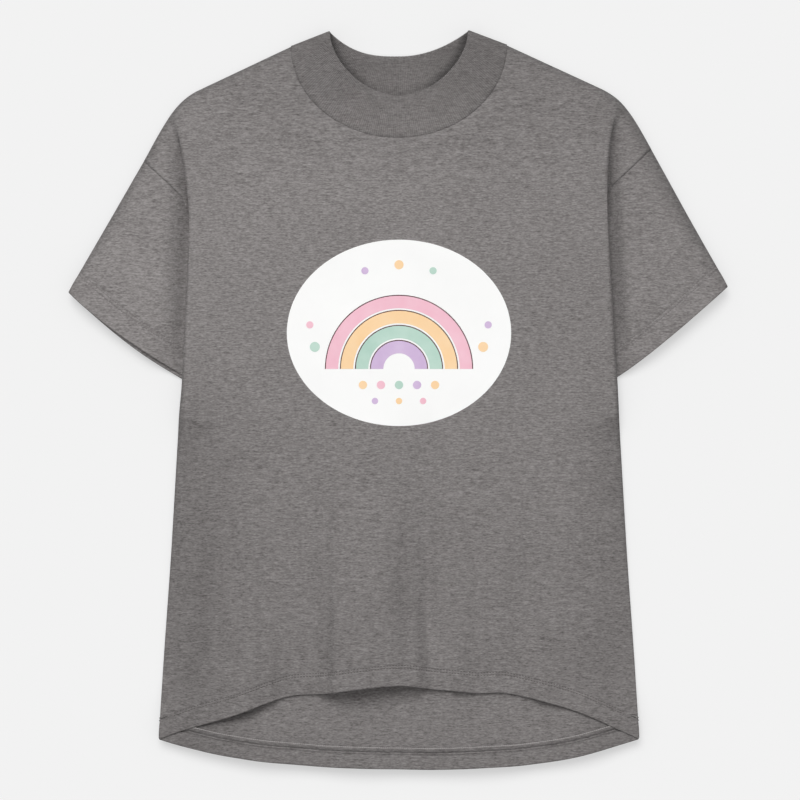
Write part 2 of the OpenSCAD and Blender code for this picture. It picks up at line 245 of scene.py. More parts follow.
def stretched_noise(tree, vector, per_metre, detail):
    """Noise whose grains are as many to the metre as per_metre says, along each axis."""
    scale = vector_math(tree, "MULTIPLY", vector, 1, per_metre)
    noise = tree.nodes.new("ShaderNodeTexNoise")
    noise.inputs["Scale"].default_value = 1.0
    noise.inputs["Detail"].default_value = detail
    noise.inputs["Roughness"].default_value = 0.55
    tree.links.new(scale.outputs[0], noise.inputs["Vector"])
    return noise.outputs["Fac"]


def eased(tree, value, low, high):
    """0 below low, 1 above high and a smooth rise between."""
    node = tree.nodes.new("ShaderNodeMapRange")
    node.interpolation_type = "SMOOTHSTEP"
    node.inputs["From Min"].default_value = low
    node.inputs["From Max"].default_value = high
    tree.links.new(value, node.inputs["Value"])
    return node.outputs["Result"]


print("helpers for colours and groups ready")

# %% [markdown]
# The streaks run level across the whole shirt, the sleeves too.

# %% Heather streaks
# Grains to the metre along each axis
LONG_STREAKS, SHORT_STREAKS, CLOUDS = (130, 610, 130), (370, 1050, 370), (20, 30, 20)
CLOUD_SHARE, STREAKS_LOW, STREAKS_HIGH = 0.06, 0.25, 0.75

heather, start, end = new_group(
    "heather_streaks",
    [
        ("Vector", "NodeSocketVector", None),
        ("Dark", "NodeSocketColor", rgb(84, 80, 79)),
        ("Light", "NodeSocketColor", rgb(160, 156, 155)),
    ],
    [("Color", "NodeSocketColor")],
)
vector = start.outputs["Vector"]
long_streaks = stretched_noise(heather, vector, LONG_STREAKS, 2.0)
short_streaks = stretched_noise(heather, vector, SHORT_STREAKS, 1.0)
clouds = stretched_noise(heather, vector, CLOUDS, 1.0)
short_share = math_node(heather, "MULTIPLY", short_streaks, 0.5)
streaks = math_node(heather, "MULTIPLY_ADD", long_streaks, 0.5, short_share)
cloudy = math_node(heather, "MULTIPLY", math_node(heather, "SUBTRACT", clouds, 0.5), CLOUD_SHARE)
spread = heather.nodes.new("ShaderNodeMapRange")
spread.inputs["From Min"].default_value = STREAKS_LOW
spread.inputs["From Max"].default_value = STREAKS_HIGH
heather.links.new(math_node(heather, "ADD", streaks, cloudy), spread.inputs["Value"])
yarn = mixed(heather, spread.outputs["Result"], start.outputs["Dark"], start.outputs["Light"])
print("streaks:", len(heather.nodes), "nodes")

# %% [markdown]
# The studio's light falls off, but the pale floor doesn't show it. So the cloth is a little
# darker towards the hem, the shoulders and the body's sides, and lighter towards the cuffs,
# and its upper half darkens slightly from one side of the shirt to the other.

# %% Heather in the studio's light
# Level of the light by its place along the shirt, in metres from the middle
LIGHT_LEVELS = [
    (-0.36, 0.78), (-0.27, 0.85), (-0.10, 0.92), (0.06, 0.96),
    (0.17, 1.0), (0.24, 0.98), (0.29, 0.92), (0.34, 0.83),
]
# Where else the light changes, in metres from and to, and by how much
BODY_SIDES, BODY_LOWER, SIDE_SHIFT, SIDE_FALL = (0.14, 0.23), (-0.06, 0.06), 0.012, 0.15
SLEEVES, TO_CUFFS, CUFF_GLOW = (0.20, 0.245), (-0.19, -0.09), 0.10
UPPER_BODY, CROSS_FALL = (-0.02, 0.10), 0.2

heather_place = split(heather, vector)
fall = heather.nodes.new("ShaderNodeValToRGB")
fall.color_ramp.interpolation = "LINEAR"
while len(fall.color_ramp.elements) < len(LIGHT_LEVELS):
    fall.color_ramp.elements.new(0.5)
for stop, (place, level) in zip(fall.color_ramp.elements, LIGHT_LEVELS):
    stop.position = place + 0.5
    stop.color = grey(level)
heather.links.new(math_node(heather, "ADD", heather_place["Y"], 0.5), fall.inputs["Fac"])
shaded = vector_math(heather, "MULTIPLY", yarn, 1, fall.outputs["Color"])

down = math_node(heather, "MULTIPLY", heather_place["Y"], -1.0)
aside = math_node(heather, "ABSOLUTE", heather_place["X"])
shifted = math_node(heather, "SUBTRACT", heather_place["X"], SIDE_SHIFT)
outer = eased(heather, math_node(heather, "ABSOLUTE", shifted), *BODY_SIDES)
lower = eased(heather, down, *BODY_LOWER)
at_side = math_node(heather, "MULTIPLY", outer, lower)
level = math_node(heather, "MULTIPLY_ADD", at_side, -SIDE_FALL, 1.0)
on_sleeves, to_cuff = eased(heather, aside, *SLEEVES), eased(heather, down, *TO_CUFFS)
at_cuff = math_node(heather, "MULTIPLY", on_sleeves, to_cuff)
level = math_node(heather, "MULTIPLY_ADD", at_cuff, CUFF_GLOW, level)
upper = eased(heather, heather_place["Y"], *UPPER_BODY)
across = math_node(heather, "MULTIPLY", heather_place["X"], upper)
level = math_node(heather, "MULTIPLY_ADD", across, -CROSS_FALL, level)
dimmed = vector_math(heather, "SCALE", shaded.outputs[0], "Scale", level)
heather.links.new(dimmed.outputs[0], end.inputs["Color"])
print("heather:", len(heather.nodes), "nodes")

# %% Knit height
WALE, COURSE = 0.9 * MM, 0.65 * MM
FUZZ, LOOP_SHARE, FUZZ_SHARE = (1400, 1400, 1400), 0.3, 0.6
knit, start, end = new_group(
    "knit_loops",
    [("Vector", "NodeSocketVector", None)],
    [("Height", "NodeSocketFloat")],
)
flat = split(knit, start.outputs["Vector"])
across = math_node(knit, "PINGPONG", math_node(knit, "MULTIPLY", flat["X"], 1 / WALE), 0.5)
along = math_node(knit, "MULTIPLY_ADD", flat["Y"], 1 / COURSE, across)
loops = math_node(knit, "SINE", math_node(knit, "MULTIPLY", along, 2 * math.pi))
height = math_node(knit, "MULTIPLY_ADD", loops, LOOP_SHARE, across)
fuzz = stretched_noise(knit, start.outputs["Vector"], FUZZ, 2.0)
knit.links.new(math_node(knit, "MULTIPLY_ADD", fuzz, FUZZ_SHARE, height), end.inputs["Height"])
print("groups:", [g.name for g in bpy.data.node_groups])

# %% [markdown]
# ## Materials
#
# The body and the rib are the same yarn; the rib is a little darker through painted shade in its
# grooves.
# The film is a smooth matt white with a trace of the knit showing through. Each ink is one
# pastel colour that pools a little, as a printed field does.

# %% Cloth and rib
CLOTH_LOOPS, PRINT_LOOPS, PRINT_BUMP = 0.25, 0.15, 0.12


def new_material(name):
    """A material, its tree, its shader and the place of each point of it."""
    material = bpy.data.materials.new(name)
    material.use_nodes = True
    tree = material.node_tree
    place = tree.nodes.new("ShaderNodeTexCoord").outputs["Object"]
    return material, tree, tree.nodes["Principled BSDF"], place


def raise_loops(tree, vector, strength, height):
    """Bumps a material by the knit's loops, with their height in millimetres."""
    loops = tree.nodes.new("ShaderNodeGroup")
    loops.node_tree = knit
    tree.links.new(vector, loops.inputs["Vector"])
    bump = tree.nodes.new("ShaderNodeBump")
    bump.inputs["Strength"].default_value = strength
    bump.inputs["Distance"].default_value = height * MM
    tree.links.new(loops.outputs["Height"], bump.inputs["Height"])
    tree.links.new(bump.outputs["Normal"], tree.nodes["Principled BSDF"].inputs["Normal"])


def knitted(name, dark, light, bump):
    """A knitted cloth: streaks by place, and loops on the piece's own flat map in metres."""
    material, tree, shader, place = new_material(name)
    colour = tree.nodes.new("ShaderNodeGroup")
    colour.name = "heather"
    colour.node_tree = heather
    colour.inputs["Dark"].default_value = dark
    colour.inputs["Light"].default_value = light
    tree.links.new(place, colour.inputs["Vector"])
    tree.links.new(colour.outputs["Color"], shader.inputs["Base Color"])
    flat_place = tree.nodes.new("ShaderNodeUVMap")
    flat_place.name = "flat place"
    flat_place.uv_map = "cloth"
    raise_loops(tree, flat_place.outputs["UV"], bump, CLOTH_LOOPS)
    shader.inputs["Roughness"].default_value = 0.95
    shader.inputs["Specular IOR Level"].default_value = 0.12
    shader.inputs["Sheen Weight"].default_value = 0.12
    shader.inputs["Sheen Roughness"].default_value = 0.5
    return material


jersey_cloth = knitted("jersey_cloth", rgb(88, 84, 83), rgb(163, 159, 158), 0.35)
rib_cloth = knitted("rib_cloth", rgb(98, 94, 93), rgb(157, 153, 152), 0.3)
print("knitted:", jersey_cloth.name, rib_cloth.name)

# %% [markdown]
# Little light reaches the bottom of the rib's grooves, which are about as narrow as a pixel.
# The flat map of the band counts its wales, so a wave on it can darken each groove.

# %% Grooves of the rib
WALE_PITCH, GROOVE_DARK = 2.2, 0.2
tree = rib_cloth.node_tree
round_neck = split(tree, tree.nodes["flat place"].outputs["UV"])["X"]
turns = math_node(tree, "MULTIPLY", round_neck, 2 * math.pi / (WALE_PITCH * MM))
wave = math_node(tree, "COSINE", turns)
depth = math_node(tree, "MULTIPLY_ADD", wave, GROOVE_DARK / 2, 1 - GROOVE_DARK / 2)
grooved = vector_math(tree, "SCALE", tree.nodes["heather"].outputs["Color"], "Scale", depth)
tree.links.new(grooved.outputs[0], tree.nodes["Principled BSDF"].inputs["Base Color"])
print("wales of the rib every", WALE_PITCH, "mm")


# %% Thread, film and inks
def printed(name, colour, pooled, roughness):
    """A matt printed colour that pools a little, with a trace of the knit under it."""
    material, tree, shader, place = new_material(name)
    pools = tree.nodes.new("ShaderNodeTexNoise")
    pools.inputs["Scale"].default_value = 60
    pools.inputs["Detail"].default_value = 3
    tree.links.new(place, pools.inputs["Vector"])
    tone = mixed(tree, pools.outputs["Fac"], colour, pooled)
    tree.links.new(tone, shader.inputs["Base Color"])
    raise_loops(tree, place, PRINT_BUMP, PRINT_LOOPS)
    shader.inputs["Roughness"].default_value = roughness
    shader.inputs["Specular IOR Level"].default_value = 0.25
    return material


thread = printed("thread", rgb(74, 70, 69), rgb(60, 56, 55), 0.8)
hem_thread = printed("hem_thread", rgb(94, 90, 89), rgb(80, 76, 75), 0.8)
soft_thread = printed("soft_thread", rgb(122, 118, 117), rgb(110, 106, 105), 0.8)
# Pale thread for the back hem's overlock: its paleness is a painted highlight along the curled cut edge
pale_thread_and_painted_highlight = printed("pale_thread_and_painted_highlight", rgb(178, 174, 173), rgb(148, 144, 143), 0.8)
film_white = printed("film_white", rgb(252, 252, 251), rgb(248, 248, 247), 0.55)
INKS = {
    "pink": printed("ink_pink", rgb(240, 180, 198), rgb(246, 204, 216), 0.6),
    "peach": printed("ink_peach", rgb(250, 206, 150), rgb(252, 222, 184), 0.6),
    "mint": printed("ink_mint", rgb(168, 204, 189), rgb(202, 226, 214), 0.6),
    "lilac": printed("ink_lilac", rgb(198, 168, 210), rgb(220, 200, 228), 0.6),
    "brown": printed("ink_brown", rgb(74, 36, 40), rgb(90, 50, 52), 0.6),
}
print("materials:", [m.name for m in bpy.data.materials])

# %% [markdown]
# ## The shirt's lines
#
# The sheets follow the same lines as the solids, so the values are the solid model's, in
# millimetres: lengths down from the neck point, flat widths, and slopes in degrees.
# The two sides of a real shirt never lie quite alike: here the side fold flares to the
# shoulder more sharply on one side, and on the other the armhole seam hangs lower.

# %% Sizes and helpers
BACK_LENGTH, FRONT_LENGTH, SIDE_LENGTH = 725.0, 639.0, 692.0
HEM_WIDTH, ARMPIT_WIDTH, ARMPIT_DEPTH = 478.0, 436.0, 331.0
NECK_WIDTH, FRONT_NECK_DEPTH, BACK_NECK_DEPTH, BAND_RISE = 216.0, 92.0, 52.0, 14.0
SHOULDER_SLOPE, SHOULDER_WIDTH, SHOULDER_ROUND, SHOULDER_DROP = 25.0, 446.0, 75.0, 58.0
ARMHOLE_RUN, ARMHOLE_SLOPE, ARMHOLE_SEEN = 55.0, 43.0, 0.27
SLEEVE_LENGTH, SLEEVE_SLOPE, CUFF_WIDTH, CUFF_SLOPE = 217.0, 60.6, 170.0, 38.3
ARMPIT_X, ARMPIT_DROP = 190.0, 293.0
JERSEY, RIB, SEAM_GAP = 1.0, 2.2, 0.3
LEFT, RIGHT = 1, -1


def way(slope, side=1):
    """A unit step down a line of that slope, to the right or the left."""
    return np.array([side * math.cos(math.radians(slope)), -math.sin(math.radians(slope))])


def lerp(a, b, t):
    return a + (b - a) * t


def ramp(x, low, high):
    """0 below low, 1 above high and a smooth rise between."""
    t = np.clip((x - low) / (high - low), 0, 1)
    return t * t * (3 - 2 * t)


def rolled(t):
    """A quarter round: steep at 0 and level from 1 on."""
    return np.sqrt(1 - (1 - np.clip(t, 0, 1)) ** 2)


def unit(v):
    return v / np.maximum(np.linalg.norm(v, axis=-1, keepdims=True), 1e-9)


def through(x, points):
    """A smooth curve that passes level through each (x, value) point."""
    xs, values = np.array(points, float).T
    k = np.clip(np.searchsorted(xs, x) - 1, 0, len(xs) - 2)
    return lerp(values[k], values[k + 1], ramp(x, xs[k], xs[k + 1]))


print("helpers ready")

# %% Points on the outline
neck_y = (BACK_LENGTH + BAND_RISE) / 2 - BAND_RISE
tip_y = neck_y + BAND_RISE
corner_y = neck_y - SIDE_LENGTH
armpit_y = neck_y - ARMPIT_DEPTH
neck_half, hem_half, armpit_half = NECK_WIDTH / 2, HEM_WIDTH / 2, ARMPIT_WIDTH / 2
shoulder_way, sleeve_way = way(SHOULDER_SLOPE), way(SLEEVE_SLOPE)
cuff_way, seam_way = way(CUFF_SLOPE, -1), way(ARMHOLE_SLOPE, -1)
cuff_out = np.array([-cuff_way[1], cuff_way[0]])
neck_point = np.array([neck_half, neck_y])
shoulder_run = (SHOULDER_WIDTH / 2 - neck_half) / math.cos(math.radians(SHOULDER_SLOPE))
shoulder_corner = neck_point + shoulder_run * shoulder_way
cuff_tip = shoulder_corner + SLEEVE_LENGTH * sleeve_way
cuff_end = cuff_tip + CUFF_WIDTH * cuff_way
armpit = np.array([ARMPIT_X, neck_y - ARMPIT_DROP])
SEAM_HANG = {LEFT: 0.0, RIGHT: 11.5}
sleeve_tips = {s: shoulder_corner + (SHOULDER_DROP + SEAM_HANG[s]) * sleeve_way for s in (LEFT, RIGHT)}
armhole_mids = {s: sleeve_tips[s] + ARMHOLE_RUN * seam_way for s in (LEFT, RIGHT)}

corner_turn = (SLEEVE_SLOPE - SHOULDER_SLOPE) / 2
round_start = shoulder_corner - SHOULDER_ROUND * math.tan(math.radians(corner_turn)) * shoulder_way
round_middle = round_start + SHOULDER_ROUND * np.array([shoulder_way[1], -shoulder_way[0]])
FOLD_DROP = {LEFT: 0.0, RIGHT: 8.5}
fold_tops = {}
for s in (LEFT, RIGHT):
    angle = math.radians(SHOULDER_SLOPE + corner_turn + FOLD_DROP[s])
    fold_tops[s] = round_middle + SHOULDER_ROUND * np.array([math.sin(angle), math.cos(angle)])
print("sleeve tip", sleeve_tips[LEFT].round(1), "cuff", cuff_tip.round(1), cuff_end.round(1))

# %% [markdown]
# A sleeve darkens softly along its outer line, where the cloth turns away from the light. That
# line is known now, so the heather colour gets one more step: the distance from it.

# %% Dark edges of the sleeves
EDGE_FALL, EDGE_WIDTH = 0.15, 18.0
inward = np.array([sleeve_way[1], -sleeve_way[0]])
offset = -inward @ shoulder_corner * MM
aside = math_node(heather, "ABSOLUTE", heather_place["X"])
reach = math_node(heather, "MULTIPLY_ADD", heather_place["Y"], inward[1], offset)
inside = math_node(heather, "MULTIPLY_ADD", aside, inward[0], reach)
edge = math_node(heather, "SUBTRACT", 1.0, eased(heather, inside, 0.0, EDGE_WIDTH * MM))
before = dimmed.inputs["Scale"].links[0].from_socket
level = math_node(heather, "MULTIPLY_ADD", edge, -EDGE_FALL, before)
heather.links.new(level, dimmed.inputs["Scale"])
print("heather:", len(heather.nodes), "nodes")

# %% Curves of the outline
FLARE_DEPTH = 175.0
FLARE_POWER = {LEFT: 4.5, RIGHT: 2.1}


def inside_edge(x, y):
    """How far a point lies inside the shoulder line, the rounded corner and the sleeve line."""
    p = np.stack([x, y], -1)
    below = (p - neck_point) @ np.array([shoulder_way[1], -shoulder_way[0]])
    inner = (p - shoulder_corner) @ np.array([sleeve_way[1], -sleeve_way[0]])
    q = p - round_middle
    on_round = (q @ shoulder_way > 0) & (q @ sleeve_way < 0)
    return np.where(on_round, SHOULDER_ROUND - np.linalg.norm(q, axis=-1), np.minimum(below, inner))


def shoulder_y(x):
    """The height of the shoulder line above a point of the width."""
    line = neck_y - (x - neck_half) * math.tan(math.radians(SHOULDER_SLOPE))
    curve = round_middle[1] + np.sqrt(np.maximum(SHOULDER_ROUND**2 - (x - round_middle[0]) ** 2, 0))
    return np.where(x < round_start[0], line, curve)


def fold_x(y, side):
    """The side fold: straight from the hem to the chest, then flaring to the shoulder."""
    fold_top = fold_tops[side]
    line = lerp(hem_half, armpit_half, (y - corner_y) / (armpit_y - corner_y))
    top = lerp(hem_half, armpit_half, (fold_top[1] - corner_y) / (armpit_y - corner_y))
    low = neck_y - FLARE_DEPTH
    rise = np.clip((y - low) / (fold_top[1] - low), 0, 1)
    return line + (fold_top[0] - top) * rise ** FLARE_POWER[side]


# How far the hems' edges lie off their even arches, from the wearer's right to left
BACK_SWAY = [
    (-239, 0.5), (-190, 1.8), (-145, 2.8), (-100, 3.8), (-55, 3.4), (-10, 3.0),
    (35, 2.1), (80, 2.0), (125, 0.9), (170, 0.3), (215, 1.3), (239, 0.8),
]
HEM_SWAY = [
    (-239, 0), (-170, -4.0), (-110, 0.5), (-73, -3.0), (3, 0),
    (40, -3.0), (73, -2.5), (113, 3.5), (172, 4.0), (239, 0.5),
]


def back_hem(x):
    drop = BACK_LENGTH - SIDE_LENGTH
    arch = corner_y - drop * (1 - np.clip(np.abs(x) / hem_half, 0, 1) ** 2.6)
    return arch + through(x, BACK_SWAY)


def front_hem(x):
    arch = corner_y + (SIDE_LENGTH - FRONT_LENGTH) * (1 - np.clip(np.abs(x) / hem_half, 0, 1) ** 2)
    return arch + through(x, HEM_SWAY)


# How far each sleeve lies off its even place, to the wearer's left, and the shoulders' slant
SLEEVE_SHIFT, SHOULDER_SLANT = {LEFT: 0.6, RIGHT: 2.1}, 0.006


def settled(grid):
    """A grid of points as it lies: its sleeves drawn to one side and its shoulders aslant."""
    x, y = grid[..., 0], grid[..., 1]
    drawn = sum(SLEEVE_SHIFT[s] * ramp(s * x, 200, 235) for s in (LEFT, RIGHT)) * ramp(y, -20, 20)
    raised = SHOULDER_SLANT * x * ramp(y, 150, 300)
    return grid + np.stack([drawn, raised, 0 * x], -1)


print("fold at the chest:", [round(float(fold_x(150.0, side)), 1) for side in (LEFT, RIGHT)])

# %% [markdown]
# ## How the cloth lies
#
# Laid cloth is never pressed flat. The back lies on the floor but lifts a little along its
# hem. The sleeves are pressed under the body's side folds and swell towards the cuffs, which
# stand clear of the floor. The front is lofted over all of them: it rounds off at its sides
# and shoulders, stands up in a crisp fold over each sleeve, and sinks towards the hem, where
# it touches the back in some places and stands off it in others.

# %% Heights of the back and the sleeves
REST_Z = JERSEY + SEAM_GAP + JERSEY / 2
EDGE_LIFT, EDGE_REACH = 14.0, 65.0
# Share of that lift along the back hem, from the wearer's right to left
EDGE_SHARES = [
    (-239, 0.75), (-190, 0.95), (-140, 1.1), (-90, 0.9), (-40, 1.1),
    (20, 0.95), (80, 1.1), (140, 0.9), (190, 1.0), (239, 0.75),
]
SLEEVE_FOLD, PRESSED, ARMHOLE_TALL, SLEEVE_TALL, CUFF_TALL = 1.3, 2.6, 16.0, 18.0, 4.5
SLEEVE_ROUND = 0.14
# How far from the body's side fold the sleeve reaches its full height
VALLEY = {LEFT: 19.0, RIGHT: 27.0}


def floor_lift(x, y):
    """How far the cloth stands off the floor along the hem of the back."""
    return EDGE_LIFT * through(x, EDGE_SHARES) * (1 - ramp(y - back_hem(x), 0, EDGE_REACH))


def sleeve_profile(a):
    """The roundness of a flattened tube across its width."""
    return rolled(np.minimum(a, 1 - a) / SLEEVE_ROUND)


def sleeve_rise(a, x, y, along, side):
    """How far the sleeve's upper layer stands above its lower one."""
    swell = lerp(ARMHOLE_TALL, SLEEVE_TALL, ramp(along, 0.1, 0.5))
    tall = lerp(swell, CUFF_TALL, ramp(along, 0.55, 1.0))
    clear = ramp(x - fold_x(y, side), 0, VALLEY[side])
    return lerp(SLEEVE_FOLD, lerp(PRESSED, tall, clear), sleeve_profile(a))


print("lift of the back hem:", floor_lift(np.array([0.0]), np.array([-369.0])).round(1))

# %% Heights of the front
CHEST_HEIGHT, SIDE_CROWN, FOLD_HEIGHT, SIDE_LOW = 23.5, 21.0, 21.0, 3.2
NECKLINE_HEIGHT, NECKLINE_REACH = 19.0, 90.0
SIDE_REACH, SIDE_ROUND, SHOULDER_REACH, DRAPE_REACH = 58.0, 0.7, 35.0, 330.0
FOLD_RAMP, FOLD_REACH, FOLD_ROUND, HEM_SIDE = 45.0, 6.0, 0.5, 3.6
sleeve_low = cuff_end[1] - 6
# Height of the front hem across the width, from the wearer's right to left
HEM_LIFTS = [
    (-239, 3.6), (-205, 4.5), (-185, 8.0), (-165, 14.0), (-148, 16.0), (-132, 10.0), (-115, 3.8),
    (-84, 3.8), (-74, 11.0), (-62, 22.0), (-36, 24.5), (-12, 22.0), (14, 17.0), (34, 6.0), (48, 5.0),
    (62, 9.0), (78, 4.6), (100, 3.8), (124, 3.8), (147, 9.0), (168, 4.6), (200, 3.8), (239, 3.6),
]
# Heights of the soft upright folds above the hem, from the wearer's right to left
SOFT_FOLDS = [
    (-239, 0), (-214, 5.0), (-182, -8.0), (-140, -3.0), (-110, 0.5), (-75, 0.5), (-42, 3.0), (-22, 3.0),
    (26, -10.0), (44, -1.5), (72, 1.0), (98, 2.5), (136, -3.5), (160, 1.5), (190, 0), (239, 0),
]
SOFT_LOW, SOFT_HIGH = -170.0, 10.0


def on_sleeve(y):
    """1 where the side fold lies on the sleeve, and 0 below it."""
    return ramp(y, sleeve_low - FOLD_RAMP, sleeve_low)


def ripples(x, y):
    """Broad shallow unevenness, in millimetres."""
    return (
        0.40 * np.sin(x / 24 + 1.7 * np.sin(y / 61 + 0.6))
        + 0.34 * np.sin(y / 21 + 1.4 * np.sin(x / 49 - 0.4))
        + 0.22 * np.sin((x + y) / 13 + 1.1 * np.sin((x - y) / 37))
    )


def front_z(x, y, side):
    """Height of the middle of the front's cloth."""
    fold, over = fold_x(y, side), on_sleeve(y)
    neckline = neck_y - FRONT_NECK_DEPTH
    middle = lerp(CHEST_HEIGHT, NECKLINE_HEIGHT, ramp(y, neckline - NECKLINE_REACH, neckline))
    bulge = 1 - np.clip(np.abs(x) / fold, 0, 1) ** 2
    hem = front_hem(x)
    drape = 1 - ramp(y, hem - 40, hem + DRAPE_REACH)
    lofted = lerp(lerp(SIDE_CROWN, middle, bulge), through(x, HEM_LIFTS), drape)
    fading = (1 - ramp(y, SOFT_LOW, SOFT_HIGH)) * ramp(y, hem + 5, hem + 80)
    lofted = lofted + through(x, SOFT_FOLDS) * fading
    edge = lerp(lerp(SIDE_LOW, FOLD_HEIGHT, over), HEM_SIDE, drape)
    t = np.clip((fold - np.abs(x)) / lerp(SIDE_REACH, FOLD_REACH, over), 0, 1)
    side_roll = (t * (2 - t)) ** lerp(SIDE_ROUND, FOLD_ROUND, over)
    lying = edge + (lofted + ripples(x, y) * ramp(bulge, 0.0, 0.2) - edge) * side_roll
    shoulder_roll = rolled(inside_edge(np.abs(x), y) / SHOULDER_REACH)
    return REST_Z + (lying - REST_Z) * shoulder_roll + floor_lift(x, y)


probe = front_z(np.array([0.0, 0.0, 210.0]), np.array([70.0, -283.0, -150.0]), LEFT)
print("chest, hem and side heights:", probe.round(1))

# %% [markdown]
# ## A sheet of cloth
#
# Every panel starts as a grid of points on the middle of its cloth. The grid becomes a mesh
# with its own flat map in metres, and a Solidify modifier gives it the cloth's thickness. A
# hem is the same sheet turned round its edge and laid back on the inside, which is how it is
# sewn: it is puffed a little at the fold and drawn in along its stitches.

# %% Sheet helpers
HEM_PUFF, STITCH_DIP, PLY = 0.3, 0.5, 1.15 * JERSEY


def normals_of(grid, loop=False):
    """Unit normals of a grid of points, out of the side on which it turns anticlockwise."""
    if loop:
        across = np.roll(grid, -1, axis=1) - np.roll(grid, 1, axis=1)
    else:
        across = np.gradient(grid, axis=1)
    return unit(np.cross(across, np.gradient(grid, axis=0)))


def hem_relief(depths, stitch_lines):
    """How far the outside of a hem stands out at each depth from its edge."""
    d = np.array(depths)
    puff = HEM_PUFF * np.sin(np.clip(d / stitch_lines[0], 0, 1) * math.pi)
    dip = sum(np.exp(-(((d - line) / 0.7) ** 2)) for line in stitch_lines)
    return puff - STITCH_DIP * dip


def turned_hem(grid, normals, depths, hem_depth):
    """Adds a hem to the grid's first rows: their inside copy, and a fold round the edge."""
    inner = [k for k, d in enumerate(depths) if d <= hem_depth]
    lay = np.stack([grid[k] - PLY * normals[k] for k in reversed(inner)])
    out = unit(grid[0] - grid[1])
    fold = [
        grid[0] - PLY / 2 * (1 - math.cos(t)) * normals[0] + PLY / 2 * math.sin(t) * out
        for t in np.radians([135, 90, 45])
    ]
    return np.concatenate([lay, np.stack(fold), grid])


def flat_map(grid, loop=False):
    """The cloth unrolled: lengths along the grid's rows and columns, from its middle."""
    closed = np.concatenate([grid, grid[:, :1]], axis=1) if loop else grid
    steps = np.linalg.norm(np.diff(closed, axis=1), axis=2)
    across = np.concatenate([np.zeros((len(grid), 1)), np.cumsum(steps, axis=1)], axis=1)
    across -= across[:, across.shape[1] // 2][:, None]
    rises = np.linalg.norm(np.diff(closed, axis=0), axis=2)
    along = np.concatenate([np.zeros((1, closed.shape[1])), np.cumsum(rises, axis=0)], axis=0)
    return np.stack([across, along], -1)


print("sheet helpers ready")


# %% Sheet to mesh
def only(piece):
    """Selects one piece alone and makes it active."""
    bpy.ops.object.select_all(action="DESELECT")
    piece.select_set(True)
    bpy.context.view_layer.objects.active = piece


def new_piece(name, points, faces, material):
    """A smooth piece, made active, from points in millimetres and the faces between them."""
    mesh = bpy.data.meshes.new(name)
    mesh.from_pydata((points * MM).tolist(), [], faces)
    mesh.materials.append(material)
    piece = bpy.data.objects.new(name, mesh)
    bpy.context.collection.objects.link(piece)
    only(piece)
    bpy.ops.object.shade_smooth()
    return piece


def thicken(sheet, thickness, offset):
    """Gives the active sheet its thickness: both ways at offset 0, outwards at 1."""
    wall = sheet.modifiers.new("wall", "SOLIDIFY")
    wall.thickness = thickness * MM
    wall.offset = offset
    bpy.ops.object.modifier_apply(modifier="wall")


def make_sheet(name, grid, flat, thickness, material, loop=False):
    """A smooth solid sheet from a grid of points and its flat map, both in millimetres."""
    rows, columns = grid.shape[:2]
    faces, corners = [], []
    for r in range(rows - 1):
        low, high = r * columns, (r + 1) * columns
        for c in range(columns if loop else columns - 1):
            n = (c + 1) % columns
            faces.append((low + c, low + n, high + n, high + c))
            corners.extend([(r, c), (r, c + 1), (r + 1, c + 1), (r + 1, c)])
    sheet = new_piece(name, grid.reshape(-1, 3), faces, material)
    at = np.array(corners)
    uv = sheet.data.uv_layers.new(name="cloth")
    uv.data.foreach_set("uv", (flat[at[:, 0], at[:, 1]] * MM).astype(np.float32).ravel())
    thicken(sheet, thickness, 0)
    print(f"{name}: {len(sheet.data.polygons)} faces")
    return sheet


# %% [markdown]
# ## The front
#
# One panel makes the front. Its rows follow the hem at the bottom and the neckline and the
# shoulders at the top, and its columns spread evenly between. The first rows are set by their
# distance from the edge, so that the hem and its stitch lines keep their width.

# %% Front: the face between the side folds
HEM_MARKS = [0, 0.8, 2, 4, 7, 10, 13, 15.5, 16.4, 17.2, 18, 18.5, 19, 19.8, 20.6, 22, 24, 27]
STITCH_LINES = (17.2, 19.8)
UPPER_ROWS, NECK_COLUMNS, SHOULDER_COLUMNS = 120, 36, 32
SIDE_ROLL, HOLD_POWER, NECK_DIP = 5.0, 6, 1.1

turns = np.linspace(0, math.pi / 2, NECK_COLUMNS + 1)
row_share = 1 - (1 - np.linspace(0, 1, UPPER_ROWS + 1)[1:]) ** 1.3


def front_columns(side):
    """Across the top of the front: where its columns end, and an even spread of them."""
    flat_end = fold_tops[side][0] - SIDE_ROLL
    shoulder_x = np.linspace(neck_half, flat_end, SHOULDER_COLUMNS + 1)[1:]
    column_x = np.concatenate([neck_half * np.sin(turns), shoulder_x])
    column_top = np.concatenate([neck_y - FRONT_NECK_DEPTH * np.cos(turns), shoulder_y(shoulder_x)])
    return column_x, column_top, np.linspace(0, flat_end, len(column_x))


def front_face(side):
    """Points of the front from its middle to its side fold, and their shares of the height."""
    column_x, column_top, even_x = front_columns(side)
    flat_end = even_x[-1]
    low = front_hem(side * even_x * (hem_half - SIDE_ROLL) / flat_end)
    hem_v = np.array([d / (column_top - low) for d in HEM_MARKS])
    v = np.concatenate([hem_v, lerp(hem_v[-1], 1, row_share[:, None])])
    x = lerp(even_x, column_x, v**4)
    y = lerp(low, column_top, v)
    x = x * lerp((fold_x(y, side) - SIDE_ROLL) / flat_end, 1, v**HOLD_POWER)
    z = front_z(side * x, y, side)
    to_neck = (1 - v) * (column_top - low)
    z[:, : NECK_COLUMNS + 1] -= (NECK_DIP * np.exp(-((to_neck / 1.8) ** 2)))[:, : NECK_COLUMNS + 1]
    return np.stack([x, y, z], -1), v


print("face of the front:", front_face(LEFT)[0].shape[:2], "rows and columns on each side")

